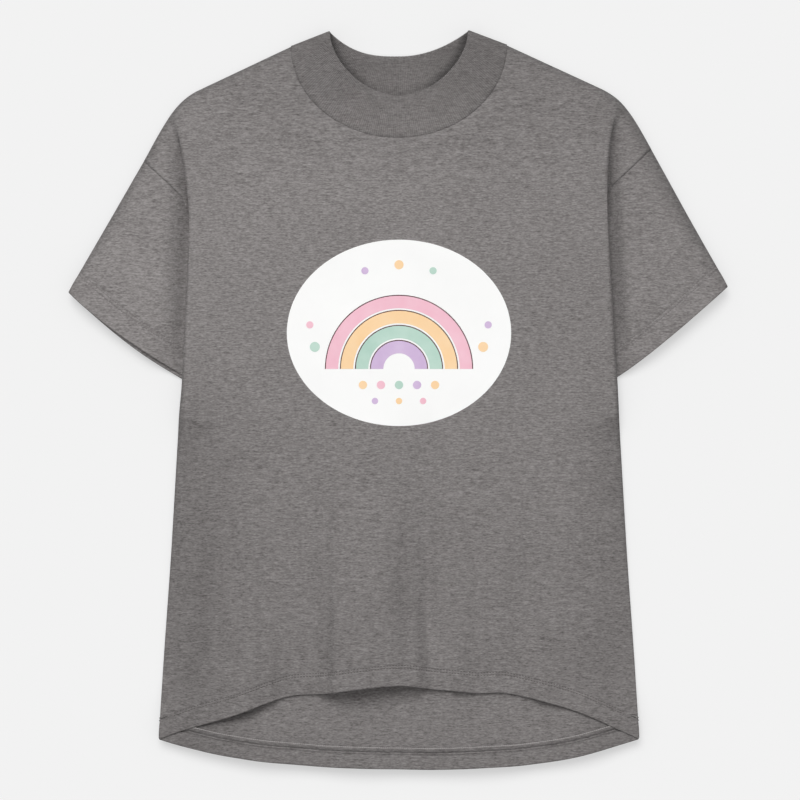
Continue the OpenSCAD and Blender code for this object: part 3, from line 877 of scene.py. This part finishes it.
# %% [markdown]
# At each side the rows go round the fold. Below the armpit they turn under to the side
# seam. Over the sleeve they turn back on themselves by a hand's breadth of cloth. Above the
# armhole they open out: down from the fold's crest, then across to the armhole seam. A Bezier
# curve makes the turn, a straight run makes the rest, and at the shoulder both blend
# into a curve along the outline.

# %% Front: round the side folds
TURN_COLUMNS, RUN_COLUMNS = 12, 10
SIDE_TUCK, FOLD_TUCK, FOLD_OPEN, FOLD_BULGE, LOW_BULGE = 6.0, 20.0, 42.0, 0.5, 2.6
HEM_DEPTH, SEAM_DIP = 20.6, 0.5
FOOT_REACH, OPEN_BULGE, LOW_SIDE, HIGH_SIDE = 3.0, 0.8, -290, -130
OUTLINE_PULL, TURN_SHARE = 0.27, 0.3
on_pressed = REST_Z + PRESSED + JERSEY + SEAM_GAP
seam_length = ARMHOLE_RUN / ARMHOLE_SEEN
FLAP_ROUND = SLEEVE_ROUND * seam_length * math.sin(math.radians(SLEEVE_SLOPE + ARMHOLE_SLOPE))


def bezier(a, b, c, d, t):
    return (1 - t) ** 3 * a + 3 * (1 - t) ** 2 * t * b + 3 * (1 - t) * t**2 * c + t**3 * d


def row_ends(start, v, side):
    """Where each row ends: on the side seam, under the fold, or on the armhole seam."""
    y, sleeve_tip, armhole_mid = start[:, 1], sleeve_tips[side], armhole_mids[side]
    fold, over = fold_x(y, side), on_sleeve(y)
    opening = ramp(y, armhole_mid[1] - FOLD_OPEN, armhole_mid[1])
    seam_v = (armhole_mid[1] - corner_y) / (y[-1] - corner_y)
    s = np.clip((v - seam_v) / (1 - seam_v), 0, 1)
    seam = armhole_mid + (sleeve_tip - armhole_mid) * s[:, None]
    on_seam = REST_Z + sleeve_rise(0.5, seam[:, 0], seam[:, 1], 0.0, side) + JERSEY + 0.1
    tucked = fold - lerp(SIDE_TUCK, FOLD_TUCK, over)
    thick_hem = JERSEY * (1 - ramp(y, corner_y + HEM_DEPTH, corner_y + 2 * HEM_DEPTH))
    under = lerp(REST_Z + thick_hem + floor_lift(side * fold, y), on_pressed, over)
    below = np.column_stack([lerp(tucked, armhole_mid[0], opening), y, lerp(under, on_seam, opening)])
    ends = np.where((s > 0)[:, None], np.column_stack([seam, on_seam]), below)
    follow = ramp(v, lerp(seam_v, 1, 0.35), 1) ** 1.5
    return ends, opening, follow[:, None]


def side_roll(face, v, side):
    """The columns that go round the side fold, from the face's last column on."""
    start, slope_from = face[:, -1], face[:, -2]
    stop, opening, follow = row_ends(start, v[:, -1], side)
    y, fold = start[:, 1], fold_x(start[:, 1], side)
    slope = (start[:, 2] - slope_from[:, 2]) / (start[:, 0] - slope_from[:, 0])
    foot_x = fold + lerp(-FOOT_REACH, np.minimum(FOOT_REACH, 0.6 * (stop[:, 0] - fold)), opening)
    valley = np.minimum(stop[:, 2] - SEAM_GAP, on_pressed)
    foot_z = np.minimum(lerp(stop[:, 2], valley, opening), start[:, 2])
    bulge = lerp(LOW_BULGE, FOLD_BULGE, ramp(y, LOW_SIDE, HIGH_SIDE))
    near_z = np.maximum(start[:, 2] + slope * (SIDE_ROLL + bulge), foot_z)
    near = np.column_stack([fold + bulge, y, near_z])
    far = np.column_stack([fold + lerp(bulge, OPEN_BULGE, opening), y, foot_z])
    foot = np.column_stack([foot_x, y, foot_z])
    t = np.linspace(0, 1, TURN_COLUMNS + 1)[1:]
    turn = bezier(start, near, far, foot, t[:, None, None])
    t = np.linspace(0, 1, RUN_COLUMNS + 1)[1:, None, None] ** 0.8
    run = foot + (stop - foot) * t
    run[..., 2] = lerp(foot_z, stop[:, 2], ramp(t[..., 0], 0.1, 1))
    left_over = np.linalg.norm(stop - foot, axis=1) * (1 - t[..., 0])
    run[..., 2] += SEAM_DIP * opening * (1 - np.exp(-((left_over / 2.0) ** 2))) * ramp(t[..., 0], 0, 0.4)
    reach = OUTLINE_PULL * np.linalg.norm(stop - start, axis=1)[:, None]
    t_turn = np.linspace(0, TURN_SHARE, TURN_COLUMNS + 1)[1:]
    t_run = np.linspace(TURN_SHARE, 1, RUN_COLUMNS + 1)[1:]
    t = np.concatenate([t_turn, t_run])
    start_slope = math.degrees(math.asin((start[-1, 0] - round_middle[0]) / SHOULDER_ROUND))
    leave = start + reach * np.append(way(start_slope), 0)
    arrive = stop - reach * np.append(sleeve_way, 0)
    outline = bezier(start, leave, arrive, stop, t[:, None, None])
    rolled_over = lerp(np.concatenate([turn, run]), outline, follow)
    lowest = REST_Z + SLEEVE_FOLD + JERSEY + 0.1
    inside = inside_edge(rolled_over[..., 0], rolled_over[..., 1])
    rounded = lowest + (rolled_over[..., 2] - lowest) * rolled(inside / FLAP_ROUND)
    off_fold = ramp(np.arange(1, len(t) + 1) / TURN_COLUMNS, 0, 1)[:, None] * opening
    rolled_over[..., 2] = lerp(rolled_over[..., 2], rounded, off_fold)
    arch = front_hem(side * rolled_over[..., 0]) - front_hem(side * start[:, 0])
    rolled_over[..., 1] += arch * (1 - ramp(v[:, -1], 0.0, 0.12))
    return rolled_over.transpose(1, 0, 2)


halves = {}
for side in (LEFT, RIGHT):
    face, v = front_face(side)
    half = np.concatenate([face, side_roll(face, v, side)], axis=1)
    half[:, :, 0] *= side
    halves[side] = half
front_grid = settled(np.concatenate([halves[RIGHT][:, :0:-1], halves[LEFT]], axis=1))
print("front grid:", front_grid.shape)

# %% Front: hem and mesh
relief = np.zeros(len(front_grid))
relief[: len(HEM_MARKS)] = hem_relief(HEM_MARKS, STITCH_LINES)
front_grid = front_grid + relief[:, None, None] * normals_of(front_grid)
front_normals = normals_of(front_grid)
front_hemmed = turned_hem(front_grid, front_normals, HEM_MARKS, HEM_DEPTH)
front_cloth = make_sheet("front_cloth", front_hemmed, flat_map(front_hemmed), JERSEY, jersey_cloth)

# %% [markdown]
# ## The back
#
# The back is longer than the front, so the inside of its hem shows. The hem is turned up on
# that side, its cut edge curls up a little, and two rows of stitches hold it below the edge.

# %% Back: points
BACK_HEM_MARKS = [
    0, 0.8, 2, 4, 7, 10, 11.8, 12.4, 13, 13.6, 14.4,
    15.2, 15.7, 16.2, 16.8, 17.4, 18.2, 19, 19.5, 21, 24,
]
BACK_STITCH_LINES = (13.0, 16.2)
BACK_HEM_DEPTH, BACK_ROWS, BACK_INSET, CORNER_INSET = 19.6, 96, 3.0, -0.4


def back_top(side):
    """The back's upper edge: the neck, the shoulder, the round corner and the armhole."""
    sleeve_tip, armhole_mid = sleeve_tips[side], armhole_mids[side]
    along_neck = np.linspace(math.pi, math.pi / 2, NECK_COLUMNS + 1)
    neck_line = neck_y + BACK_NECK_DEPTH * np.cos(along_neck)
    neck = np.column_stack([neck_half * np.sin(along_neck), neck_line])
    run = np.linspace(neck_half, round_start[0], 14)[1:]
    line = np.column_stack([run, shoulder_y(run)])
    angles = np.radians(np.linspace(SHOULDER_SLOPE, SLEEVE_SLOPE, 10))[1:]
    corner = round_middle + SHOULDER_ROUND * np.column_stack([np.sin(angles), np.cos(angles)])
    drop = corner[-1] + (sleeve_tip - corner[-1]) * np.linspace(0, 1, 8)[1:, None]
    seam = sleeve_tip + (armhole_mid - sleeve_tip) * np.linspace(0, 1, 12)[1:, None]
    return np.concatenate([neck, line, corner, drop, seam])


def back_half(side):
    """Points of the back from its middle to its edge on one side, in rows from the hem."""
    top = back_top(side)
    share = np.linspace(0, 1, len(top))
    low = back_hem(side * share * (hem_half - BACK_INSET))
    hem_v = np.array([d / (top[:, 1] - low) for d in BACK_HEM_MARKS])
    v = np.concatenate([hem_v, lerp(hem_v[-1], 1, np.linspace(0, 1, BACK_ROWS + 1)[1:, None])])
    y = lerp(low, top[:, 1], v)
    inset = lerp(CORNER_INSET, BACK_INSET, ramp(v, 0.0, 0.08))
    swing = top[:, 0] - share * (fold_x(top[:, 1], side) - BACK_INSET)
    x = share * (fold_x(y, side) - inset) + swing * v**20
    return np.stack([side * x, y, JERSEY / 2 + floor_lift(side * x, y)], -1)


back_grid = settled(np.concatenate([back_half(RIGHT)[:, :0:-1], back_half(LEFT)], axis=1))
print("back grid:", back_grid.shape)

# %% Back: hem and mesh
CURL, CURL_MARK, BACK_DIP, BACK_SINK = 1.3, 19.0, 0.5, 1.7
CHANNEL_START, CHANNEL_END = (11.8, 13.0), (16.2, 17.4)
marks = np.array(BACK_HEM_MARKS)
channel = BACK_SINK * ramp(marks, *CHANNEL_START) * (1 - ramp(marks, *CHANNEL_END))
back_grid[: len(marks), :, 2] -= channel[:, None]
dips = BACK_DIP * sum(np.exp(-(((marks - line) / 0.6) ** 2)) for line in BACK_STITCH_LINES)
curl = CURL * np.exp(-(((marks - CURL_MARK) / 0.9) ** 2))
back_normals = normals_of(back_grid)
back_hemmed = turned_hem(back_grid, -back_normals, BACK_HEM_MARKS, BACK_HEM_DEPTH)
inside_marks = [k for k, d in enumerate(BACK_HEM_MARKS) if d <= BACK_HEM_DEPTH]
for row, k in enumerate(reversed(inside_marks)):
    back_hemmed[row] += (curl[k] - dips[k]) * back_normals[k]
back_hemmed = back_hemmed[:, ::-1]
back_cloth = make_sheet("back_cloth", back_hemmed, flat_map(back_hemmed), JERSEY, jersey_cloth)

# %% [markdown]
# ## The sleeves
#
# A sleeve is a flattened tube, tucked in between the front and the back at the armhole. It is
# flat where the body's side fold lies on it and swells towards the cuff. At the armhole its
# upper layer rises to meet the front, edge to edge. One cuff shows a little of its lower
# layer, and on the other the upper layer hangs over it.

# %% Sleeves: points
CUFF_MARKS = [0, 0.8, 2, 4, 7, 10, 13, 16, 18, 18.8, 19.5, 20.2, 21.2, 22.2, 23, 23.8, 25.5, 28]
CUFF_STITCH_LINES = (19.5, 23.0)
CUFF_HEM_DEPTH, CUFF_LIFT = 23.1, 10.5
ARMHOLE_LAP, FLUSH = 5.0, 1.35
ARMHOLE_MARKS = [9, 7.6, 6.8, 6.2, 5.7, 5.2, 4.6, 3.6, 2, 0]
SLEEVE_ROWS, SLEEVE_AROUND = 50, 144
# How far the cuff hangs past a straight edge, from its tip to its other end, as a curve's four
# control values: the upper layer first, then the lower one
CUFF_EDGES = {
    LEFT: ((-3.3, 0.2, 3.7, -3.1), (-3.3, -0.8, 2.2, -3.1)),
    RIGHT: ((4.0, 10.3, 1.7, -5.5), (4.0, 8.7, 10.9, -5.5)),
}


def armhole_point(a, side):
    """A point of the armhole seam: straight to the side fold, then curving to the armpit."""
    sleeve_tip, armhole_mid = sleeve_tips[side], armhole_mids[side]
    seam_bend = armhole_mid + 0.25 * np.linalg.norm(armhole_mid - armpit) * seam_way
    straight = sleeve_tip + (armhole_mid - sleeve_tip) * (a / ARMHOLE_SEEN)[..., None]
    t = (np.maximum(a - ARMHOLE_SEEN, 0) / (1 - ARMHOLE_SEEN))[..., None]
    bent = (1 - t) ** 2 * armhole_mid + 2 * (1 - t) * t * seam_bend + t**2 * armpit
    return np.where((a < ARMHOLE_SEEN)[..., None], straight, bent)


def sleeve_grid(side):
    """Points round the sleeve's tube, in rows from the cuff to the armhole."""
    turn = np.linspace(2 * math.pi, 0, SLEEVE_AROUND, endpoint=False)
    a = (1 - np.cos(turn)) / 2
    upper = turn <= math.pi
    seam = armhole_point(a, side) - ARMHOLE_LAP * sleeve_way
    over, under = CUFF_EDGES[side]
    bow = np.where(upper, bezier(*over, a), bezier(*under, a))
    cuff = cuff_tip + (cuff_end - cuff_tip) * a[:, None] + bow[:, None] * cuff_out
    length = np.linalg.norm(seam - cuff, axis=1)
    from_cuff = np.array([d / length for d in CUFF_MARKS])
    from_seam = np.array([1 - d / length for d in ARMHOLE_MARKS])
    between = np.linspace(0, 1, SLEEVE_ROWS + 2)[1:-1, None]
    l = np.concatenate([from_cuff, lerp(from_cuff[-1], from_seam[0], between), from_seam])
    p = cuff + (seam - cuff) * l[..., None]
    x, y, along = p[..., 0], p[..., 1], 1 - l
    off_fold = x - fold_x(y, side)
    on_back = np.maximum(1 - ramp(off_fold, 0, 35), 1 - ramp(along, 0.2, 0.6))
    bed = lerp(JERSEY / 2, REST_Z, on_back) + CUFF_LIFT * ramp(along, 0.4, 1.0) * ramp(off_fold, 0, 45)
    full = sleeve_profile(a)
    flush = FLUSH * ramp(along * length, ARMHOLE_LAP - 0.3, ARMHOLE_LAP + 1.8) * ramp(off_fold, 2, 14)
    soft = 1.2 * ramp(along, 0.15, 0.5) * ramp(off_fold, 8, 40) * ripples(1.3 * x + 40 * side, 1.3 * y)
    top = sleeve_rise(a, x, y, along, side) + (flush + soft) * full
    z = bed + np.where(upper, top, SLEEVE_FOLD * (1 - full))
    return np.concatenate([p, z[..., None]], -1), upper


print("armhole from", armhole_point(np.array([0.0, 1.0]), LEFT).round(1).tolist())


# %% Sleeves: hems and meshes
def make_sleeve(name, side):
    """The sleeve's sheet, and the points and normals of its outside for the stitches."""
    grid, upper = sleeve_grid(side)
    relief = np.zeros(len(grid))
    relief[: len(CUFF_MARKS)] = hem_relief(CUFF_MARKS, CUFF_STITCH_LINES)
    grid = grid + (relief[:, None] * upper)[..., None] * normals_of(grid, loop=True)
    normals = normals_of(grid, loop=True)
    hemmed = turned_hem(grid, normals, CUFF_MARKS, CUFF_HEM_DEPTH)
    if side == RIGHT:
        mirror = np.array([-1, 1, 1])
        grid, normals, hemmed = grid * mirror, normals * mirror, hemmed[:, ::-1] * mirror
    grid, hemmed = settled(grid), settled(hemmed)
    sleeve = make_sheet(name, hemmed, flat_map(hemmed, loop=True), JERSEY, jersey_cloth, loop=True)
    return sleeve, grid, normals


sleeve_left, left_grid, left_normals = make_sleeve("sleeve_left", LEFT)
sleeve_right, right_grid, right_normals = make_sleeve("sleeve_right", RIGHT)

# %% [markdown]
# ## The neckband
#
# The neckband is a strip of rib, folded in half along its top edge and sewn into the
# neckline in a ring. Its wales are fine ridges that run from the seam to the fold, so they
# are modelled: the ring is divided evenly along its length, and each ridge is a wave of the
# sheet. Next to the seam both cloths dip, which leaves a thin shaded line.

# %% Neckband: the ring between its two layers
BAND_TOP_WIDTH, BAND_FRONT_DIP, BAND_BACK_DIP = 140.0, 65.0, 25.0
BAND_CORNER, BAND_MIDDLE = 26.0, 17.0
FRONT_POWER, BACK_POWER = 1.8, {LEFT: 2.05, RIGHT: 2.8}
BAND_PLY, RIDGE, NECK_GAP = 0.95, 0.3, 0.2
ply_apart = RIB - BAND_PLY
band_rest = RIB / 2 + RIDGE + 0.05


def band_points(turn, across):
    """Points of the band from a turn round the neck and a share from the seam to the fold."""
    front = np.cos(turn) > 0
    x = (neck_half - NECK_GAP) * np.sin(turn)
    y = neck_y - np.where(front, FRONT_NECK_DEPTH - NECK_GAP, -BACK_NECK_DEPTH) * np.cos(turn)
    on_front = np.maximum(front_z(x, y, LEFT) - ply_apart / 2, band_rest)
    seam = np.stack([x, y, np.where(front, on_front, band_rest)], -1)
    out = np.abs(np.sin(turn))
    front_dip = BAND_FRONT_DIP * (1 - out**FRONT_POWER) ** (1 / FRONT_POWER)
    power = np.where(np.sin(turn) > 0, BACK_POWER[LEFT], BACK_POWER[RIGHT])
    dip = np.where(front, front_dip, BAND_BACK_DIP * (1 - out**power))
    top = lerp(BAND_CORNER, BAND_MIDDLE, ramp(np.cos(turn), 0.55, 1.0))
    lift = lerp(band_rest, top, ramp(np.cos(turn), -0.1, 0.15))
    edge = np.stack([BAND_TOP_WIDTH / 2 * np.sin(turn), tip_y - dip, lift], -1)
    return lerp(seam, edge, across)


fine = np.linspace(0, 2 * math.pi, 2881)
ring = band_points(fine, 0.0)
ring_length = np.concatenate([[0], np.cumsum(np.linalg.norm(np.diff(ring, axis=0), axis=1))])
print(f"length of the neck seam: {ring_length[-1]:.0f} mm")

# %% Neckband: layers, wales and mesh
PER_WALE = 4
BAND_SHARES = [0, 0.025, 0.055, 0.1, 0.18, 0.28, 0.4, 0.52, 0.64, 0.76, 0.86, 0.94, 1.0]
BAND_DIPS = [1.2, 0.7, 0.2] + [0.0] * 10

wales = round(ring_length[-1] / WALE_PITCH)
columns = wales * PER_WALE
turn = np.interp(np.arange(columns) / columns * ring_length[-1], ring_length, fine)
band_grid = settled(np.stack([band_points(turn, share) for share in BAND_SHARES]))
band_normals = normals_of(band_grid, loop=True)
wave = RIDGE * np.cos(2 * math.pi * np.arange(columns) / PER_WALE)[:, None]
dips = np.array(BAND_DIPS)[:, None, None]
sewn_on = ramp(np.cos(turn), 0, 0.25)[:, None]
outer = band_grid + (ply_apart / 2 + wave - dips * sewn_on) * band_normals
inner = band_grid - (ply_apart / 2 + wave) * band_normals
up = unit(band_grid[-1] - band_grid[-2])
fold = [
    band_grid[-1] + (ply_apart / 2 + wave) * (math.cos(t) * band_normals[-1] + math.sin(t) * up)
    for t in np.radians([30, 60, 90, 120, 150])
]
band_sheet = np.concatenate([outer, np.stack(fold), inner[::-1]])
band_flat = flat_map(band_sheet, loop=True)
band_flat[..., 0] = np.arange(columns + 1) * WALE_PITCH / PER_WALE
neckband_rib = make_sheet("neckband_rib", band_sheet, band_flat, BAND_PLY, rib_cloth, loop=True)
print("wales:", wales)

# %% [markdown]
# At both sides the front of the collar bends down onto the back of it, and hardly any light
# gets into these narrow corners. They are darkened by their place: on the back half of the
# band, under or close to the front's edge and away from its middle. The edge is a known curve,
# so a formula finds them.

# %% Neckband: dark corners
CORNER_DARK, CORNER_SHIFT, TIP_BLEND = 0.48, 1.5, 3.0
# From and to: the nearness to the front's edge, and the distance from its middle in metres
NEAR_EDGE, OFF_MIDDLE = (0.72, 0.97), (0.02, 0.045)
tree = rib_cloth.node_tree
rib_place = split(tree, tree.nodes.new("ShaderNodeTexCoord").outputs["Object"])
aside = math_node(tree, "ABSOLUTE", math_node(tree, "ADD", rib_place["X"], CORNER_SHIFT * MM))
below = math_node(tree, "MAXIMUM", math_node(tree, "SUBTRACT", tip_y * MM, rib_place["Y"]), 0.0)
across, down = [
    math_node(tree, "POWER", math_node(tree, "DIVIDE", distance, size * MM), FRONT_POWER)
    for distance, size in ((aside, BAND_TOP_WIDTH / 2), (below, BAND_FRONT_DIP))
]
near = eased(tree, math_node(tree, "ADD", across, down), *NEAR_EDGE)
tips = np.interp([0.5 * math.pi, 1.5 * math.pi], fine, ring_length)
tips = tips * wales * WALE_PITCH / ring_length[-1]
past = [eased(tree, round_neck, (tip - TIP_BLEND) * MM, (tip + TIP_BLEND) * MM) for tip in tips]
behind = math_node(tree, "MULTIPLY", near, math_node(tree, "SUBTRACT", *past))
corners = math_node(tree, "MULTIPLY", behind, eased(tree, aside, *OFF_MIDDLE))
shade = math_node(tree, "MULTIPLY_ADD", corners, -CORNER_DARK, 1.0)
cornered = vector_math(tree, "SCALE", grooved.outputs[0], "Scale", shade)
tree.links.new(cornered.outputs[0], tree.nodes["Principled BSDF"].inputs["Base Color"])
print("rib:", len(tree.nodes), "nodes")

# %% [markdown]
# ## Stitches
#
# The hems are closed with a twin needle, which leaves two rows of short stitches. One
# stitch is modelled as a small rounded bar, and copies of it are laid along the rows, each
# turned along the row and half sunk into the cloth.

# %% One stitch
STITCH_LENGTH, STITCH_WIDTH, STITCH_RISE, STITCH_PITCH, EDGE_PITCH = 2.4, 1.2, 0.8, 3.0, 2.1
bpy.ops.object.select_all(action="DESELECT")
bpy.ops.mesh.primitive_uv_sphere_add(segments=6, ring_count=4, radius=0.5)
one_stitch = bpy.context.object
bpy.ops.object.mode_set(mode="EDIT")
bpy.ops.mesh.select_all(action="SELECT")
bpy.ops.transform.resize(value=(STITCH_LENGTH, STITCH_WIDTH, STITCH_RISE))
bpy.ops.object.mode_set(mode="OBJECT")
stitch_points = np.array([v.co for v in one_stitch.data.vertices])
stitch_faces = [tuple(p.vertices) for p in one_stitch.data.polygons]
bpy.data.objects.remove(one_stitch)
print("one stitch:", len(stitch_faces), "faces")


# %% Rows of stitches
def sew(name, rows, rise, material, pitch=STITCH_PITCH):
    """Copies of the stitch along rows of (points, normals), as one piece."""
    points, faces = [], []
    for path, up in rows:
        path = path + rise * up
        at = np.concatenate([[0], np.cumsum(np.linalg.norm(np.diff(path, axis=0), axis=1))])
        count = int(at[-1] / pitch)
        middle = (np.arange(count) + 0.5) * at[-1] / count
        place = np.stack([np.interp(middle, at, path[:, k]) for k in range(3)], -1)
        ahead = np.stack([np.interp(middle + 0.5, at, path[:, k]) for k in range(3)], -1)
        above = np.stack([np.interp(middle, at, up[:, k]) for k in range(3)], -1)
        x = unit(ahead - place)
        y = unit(np.cross(above, x))
        z = np.cross(x, y)
        for k in range(count):
            base = len(points) * len(stitch_points)
            points.append(place[k] + stitch_points @ np.stack([x[k], y[k], z[k]]))
            faces.extend(tuple(base + i for i in face) for face in stitch_faces)
    print(f"{name}: {len(points)} stitches")
    return new_piece(name, np.concatenate(points), faces, material)


def hem_rows(grid, normals, marks, lines, keep):
    """The grid's rows that lie on the stitch lines, over the columns to keep."""
    return [(grid[marks.index(line)][keep], normals[marks.index(line)][keep]) for line in lines]


THREAD_RISE, OVERLOCK_RISE, OVERLOCK_MARK = 0.45, 0.25, 19.5
ends = TURN_COLUMNS + RUN_COLUMNS + 2
middle = slice(ends, front_grid.shape[1] - ends)
front_rows = hem_rows(front_grid, front_normals, HEM_MARKS, STITCH_LINES, middle)
front_stitches = sew("front_hem_stitches", front_rows, THREAD_RISE, hem_thread)
back_inside = back_grid + (PLY - BACK_DIP) * back_normals
whole = slice(2, back_grid.shape[1] - 2)
back_rows = hem_rows(back_inside, back_normals, BACK_HEM_MARKS, BACK_STITCH_LINES, whole)
back_stitches = sew("back_hem_stitches", back_rows, THREAD_RISE, thread)
# The overlock row on the curled cut edge is real stitching; its pale thread also paints the highlight
# along that edge
back_curled = back_grid + (PLY + CURL) * back_normals
edge_rows = hem_rows(back_curled, back_normals, BACK_HEM_MARKS, (OVERLOCK_MARK,), whole)
back_overlock_and_painted_highlight = sew("back_hem_overlock_and_painted_highlight", edge_rows, OVERLOCK_RISE, pale_thread_and_painted_highlight, EDGE_PITCH)
round_cuff = np.arange(SLEEVE_AROUND + 1) % SLEEVE_AROUND
left_rows = hem_rows(left_grid, left_normals, CUFF_MARKS, CUFF_STITCH_LINES, round_cuff)
left_stitches = sew("left_cuff_stitches", left_rows, THREAD_RISE, soft_thread)
right_rows = hem_rows(right_grid, right_normals, CUFF_MARKS, CUFF_STITCH_LINES, round_cuff)
right_stitches = sew("right_cuff_stitches", right_rows, THREAD_RISE, soft_thread)

# %% [markdown]
# ## The print
#
# A white oval of transfer film is pressed onto the chest, with pastel arches and dots printed
# on it. The shapes are cut flat, as from a sheet of film, and dropped onto the cloth with a
# Shrinkwrap modifier, so that they follow its crown. Each lies a hair above the one below.

# %% Flat shapes that are dropped onto the cloth
PRINT_WIDTH, PRINT_LENGTH, PRINT_Y = 224.0, 186.0, neck_y - 287.0
FILM, INK, FILM_GAP, INK_GAP, DROP_FROM = 0.2, 0.06, 0.12, 0.05, 60.0


def drop_onto(shape, target, gap, thickness, material):
    """Projects a flat shape down onto a piece, and gives it a thickness."""
    wrap = shape.modifiers.new("wrap", "SHRINKWRAP")
    wrap.target = target
    wrap.wrap_method = "PROJECT"
    wrap.wrap_mode = "ABOVE_SURFACE"
    wrap.use_project_z = True
    wrap.use_negative_direction = True
    wrap.use_positive_direction = False
    wrap.offset = gap * MM
    bpy.ops.object.modifier_apply(modifier="wrap")
    thicken(shape, thickness, 1)
    shape.data.materials.append(material)
    bpy.ops.object.shade_smooth_by_angle(angle=math.radians(40))
    print(f"{shape.name}: {len(shape.data.polygons)} faces")
    return shape


def flat_circle(name, x, y, radius, vertices):
    """An open circle above the chest, in edit mode with all of it selected."""
    bpy.ops.object.select_all(action="DESELECT")
    place = (x * MM, (PRINT_Y + y) * MM, DROP_FROM * MM)
    bpy.ops.mesh.primitive_circle_add(vertices=vertices, radius=radius * MM, location=place)
    shape = bpy.context.object
    shape.name = name
    bpy.ops.object.transform_apply(location=True, rotation=True, scale=True)
    bpy.ops.object.mode_set(mode="EDIT")
    bpy.ops.mesh.select_all(action="SELECT")
    return shape, place


def face_up():
    """Turns all faces the same way and leaves edit mode."""
    bpy.ops.mesh.select_all(action="SELECT")
    bpy.ops.mesh.normals_make_consistent(inside=False)
    bpy.ops.object.mode_set(mode="OBJECT")


oval, place = flat_circle("chest_film", 0, 0, 1, 128)
bpy.ops.transform.resize(value=(PRINT_WIDTH / 2, PRINT_LENGTH / 2, 1), center_override=place)
bpy.ops.mesh.fill_grid(span=32)
face_up()
chest_film = drop_onto(oval, front_cloth, FILM_GAP, FILM, film_white)


# %% Arches and dots
def arch(name, inner, outer, foot, ink):
    """Half a ring that stands on a level line."""
    shape, place = flat_circle(name, 0, foot, outer, 96)
    bpy.ops.mesh.extrude_edges_move()
    bpy.ops.transform.resize(value=(inner / outer, inner / outer, 1), center_override=place)
    bpy.ops.mesh.select_all(action="SELECT")
    bpy.ops.mesh.bisect(plane_co=place, plane_no=(0, 1, 0), clear_inner=True, clear_outer=False)
    bpy.ops.mesh.select_all(action="SELECT")
    bpy.ops.mesh.subdivide(number_cuts=1)
    face_up()
    return drop_onto(shape, chest_film, INK_GAP, INK, INKS[ink])


def dot(name, x, y, radius, ink):
    """A small disc."""
    shape, place = flat_circle(name, x, y, radius, 32)
    bpy.ops.mesh.edge_face_add()
    bpy.ops.mesh.inset(thickness=radius * 0.5 * MM)
    face_up()
    return drop_onto(shape, chest_film, INK_GAP, INK, INKS[ink])


FOOT, FIRST, STEP, LINE = -36.0, 15.0, 15.0, 1.0
ARCH_INNER, ARCH_OUTER = 0.6, 13.0
DOTS = [
    (-84, -14, 5.0, "mint"), (84, -14, 5.0, "peach"), (-89, 8, 3.6, "pink"), (89, 8, 3.6, "lilac"),
    (-36, -52, 4.2, "peach"), (-18, -52, 4.2, "pink"), (0, -52, 4.2, "mint"),
    (18, -52, 4.2, "lilac"), (36, -52, 4.2, "peach"),
    (-24, -68, 3.2, "lilac"), (0, -68, 3.2, "peach"), (24, -68, 3.2, "pink"),
    (-34, 62, 3.6, "lilac"), (0, 68, 4.6, "peach"), (34, 62, 3.6, "mint"),
]
print_shapes = []
for k, ink in enumerate(["lilac", "mint", "peach", "pink"]):
    inner, outer = FIRST + STEP * k + ARCH_INNER, FIRST + STEP * k + ARCH_OUTER
    print_shapes.append(arch(f"arch_{ink}", inner, outer, FOOT, ink))
    print_shapes.append(arch(f"arch_line_{ink}", outer, outer + LINE, FOOT, "brown"))
for k, (x, y, radius, ink) in enumerate(DOTS):
    print_shapes.append(dot(f"dot_{k}", x, y, radius, ink))
print("print shapes:", len(print_shapes))

# %% [markdown]
# ## What each piece stands for
#
# Every sheet takes the place of its solid and rides with it. The flat sizes are those of the
# pattern pieces, with their hems, before sewing.

# %% Tie the pieces to the frame
stand_ins = [
    (front_cloth, "front_panel", "jersey"),
    (back_cloth, "back_panel", "jersey"),
    (sleeve_left, "left_sleeve", "jersey"),
    (sleeve_right, "right_sleeve", "jersey"),
    (neckband_rib, "neckband", "rib"),
    (chest_film, "chest_print", "print_film"),
]
for piece, node, slot in stand_ins:
    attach(piece, "root")
    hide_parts(node)
threads = [front_stitches, back_stitches, back_overlock_and_painted_highlight, left_stitches, right_stitches]
for piece in threads:
    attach(piece, "root")
for piece in print_shapes:
    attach(piece, "root")

print("pieces tied:", len(stand_ins) + len(threads) + len(print_shapes))
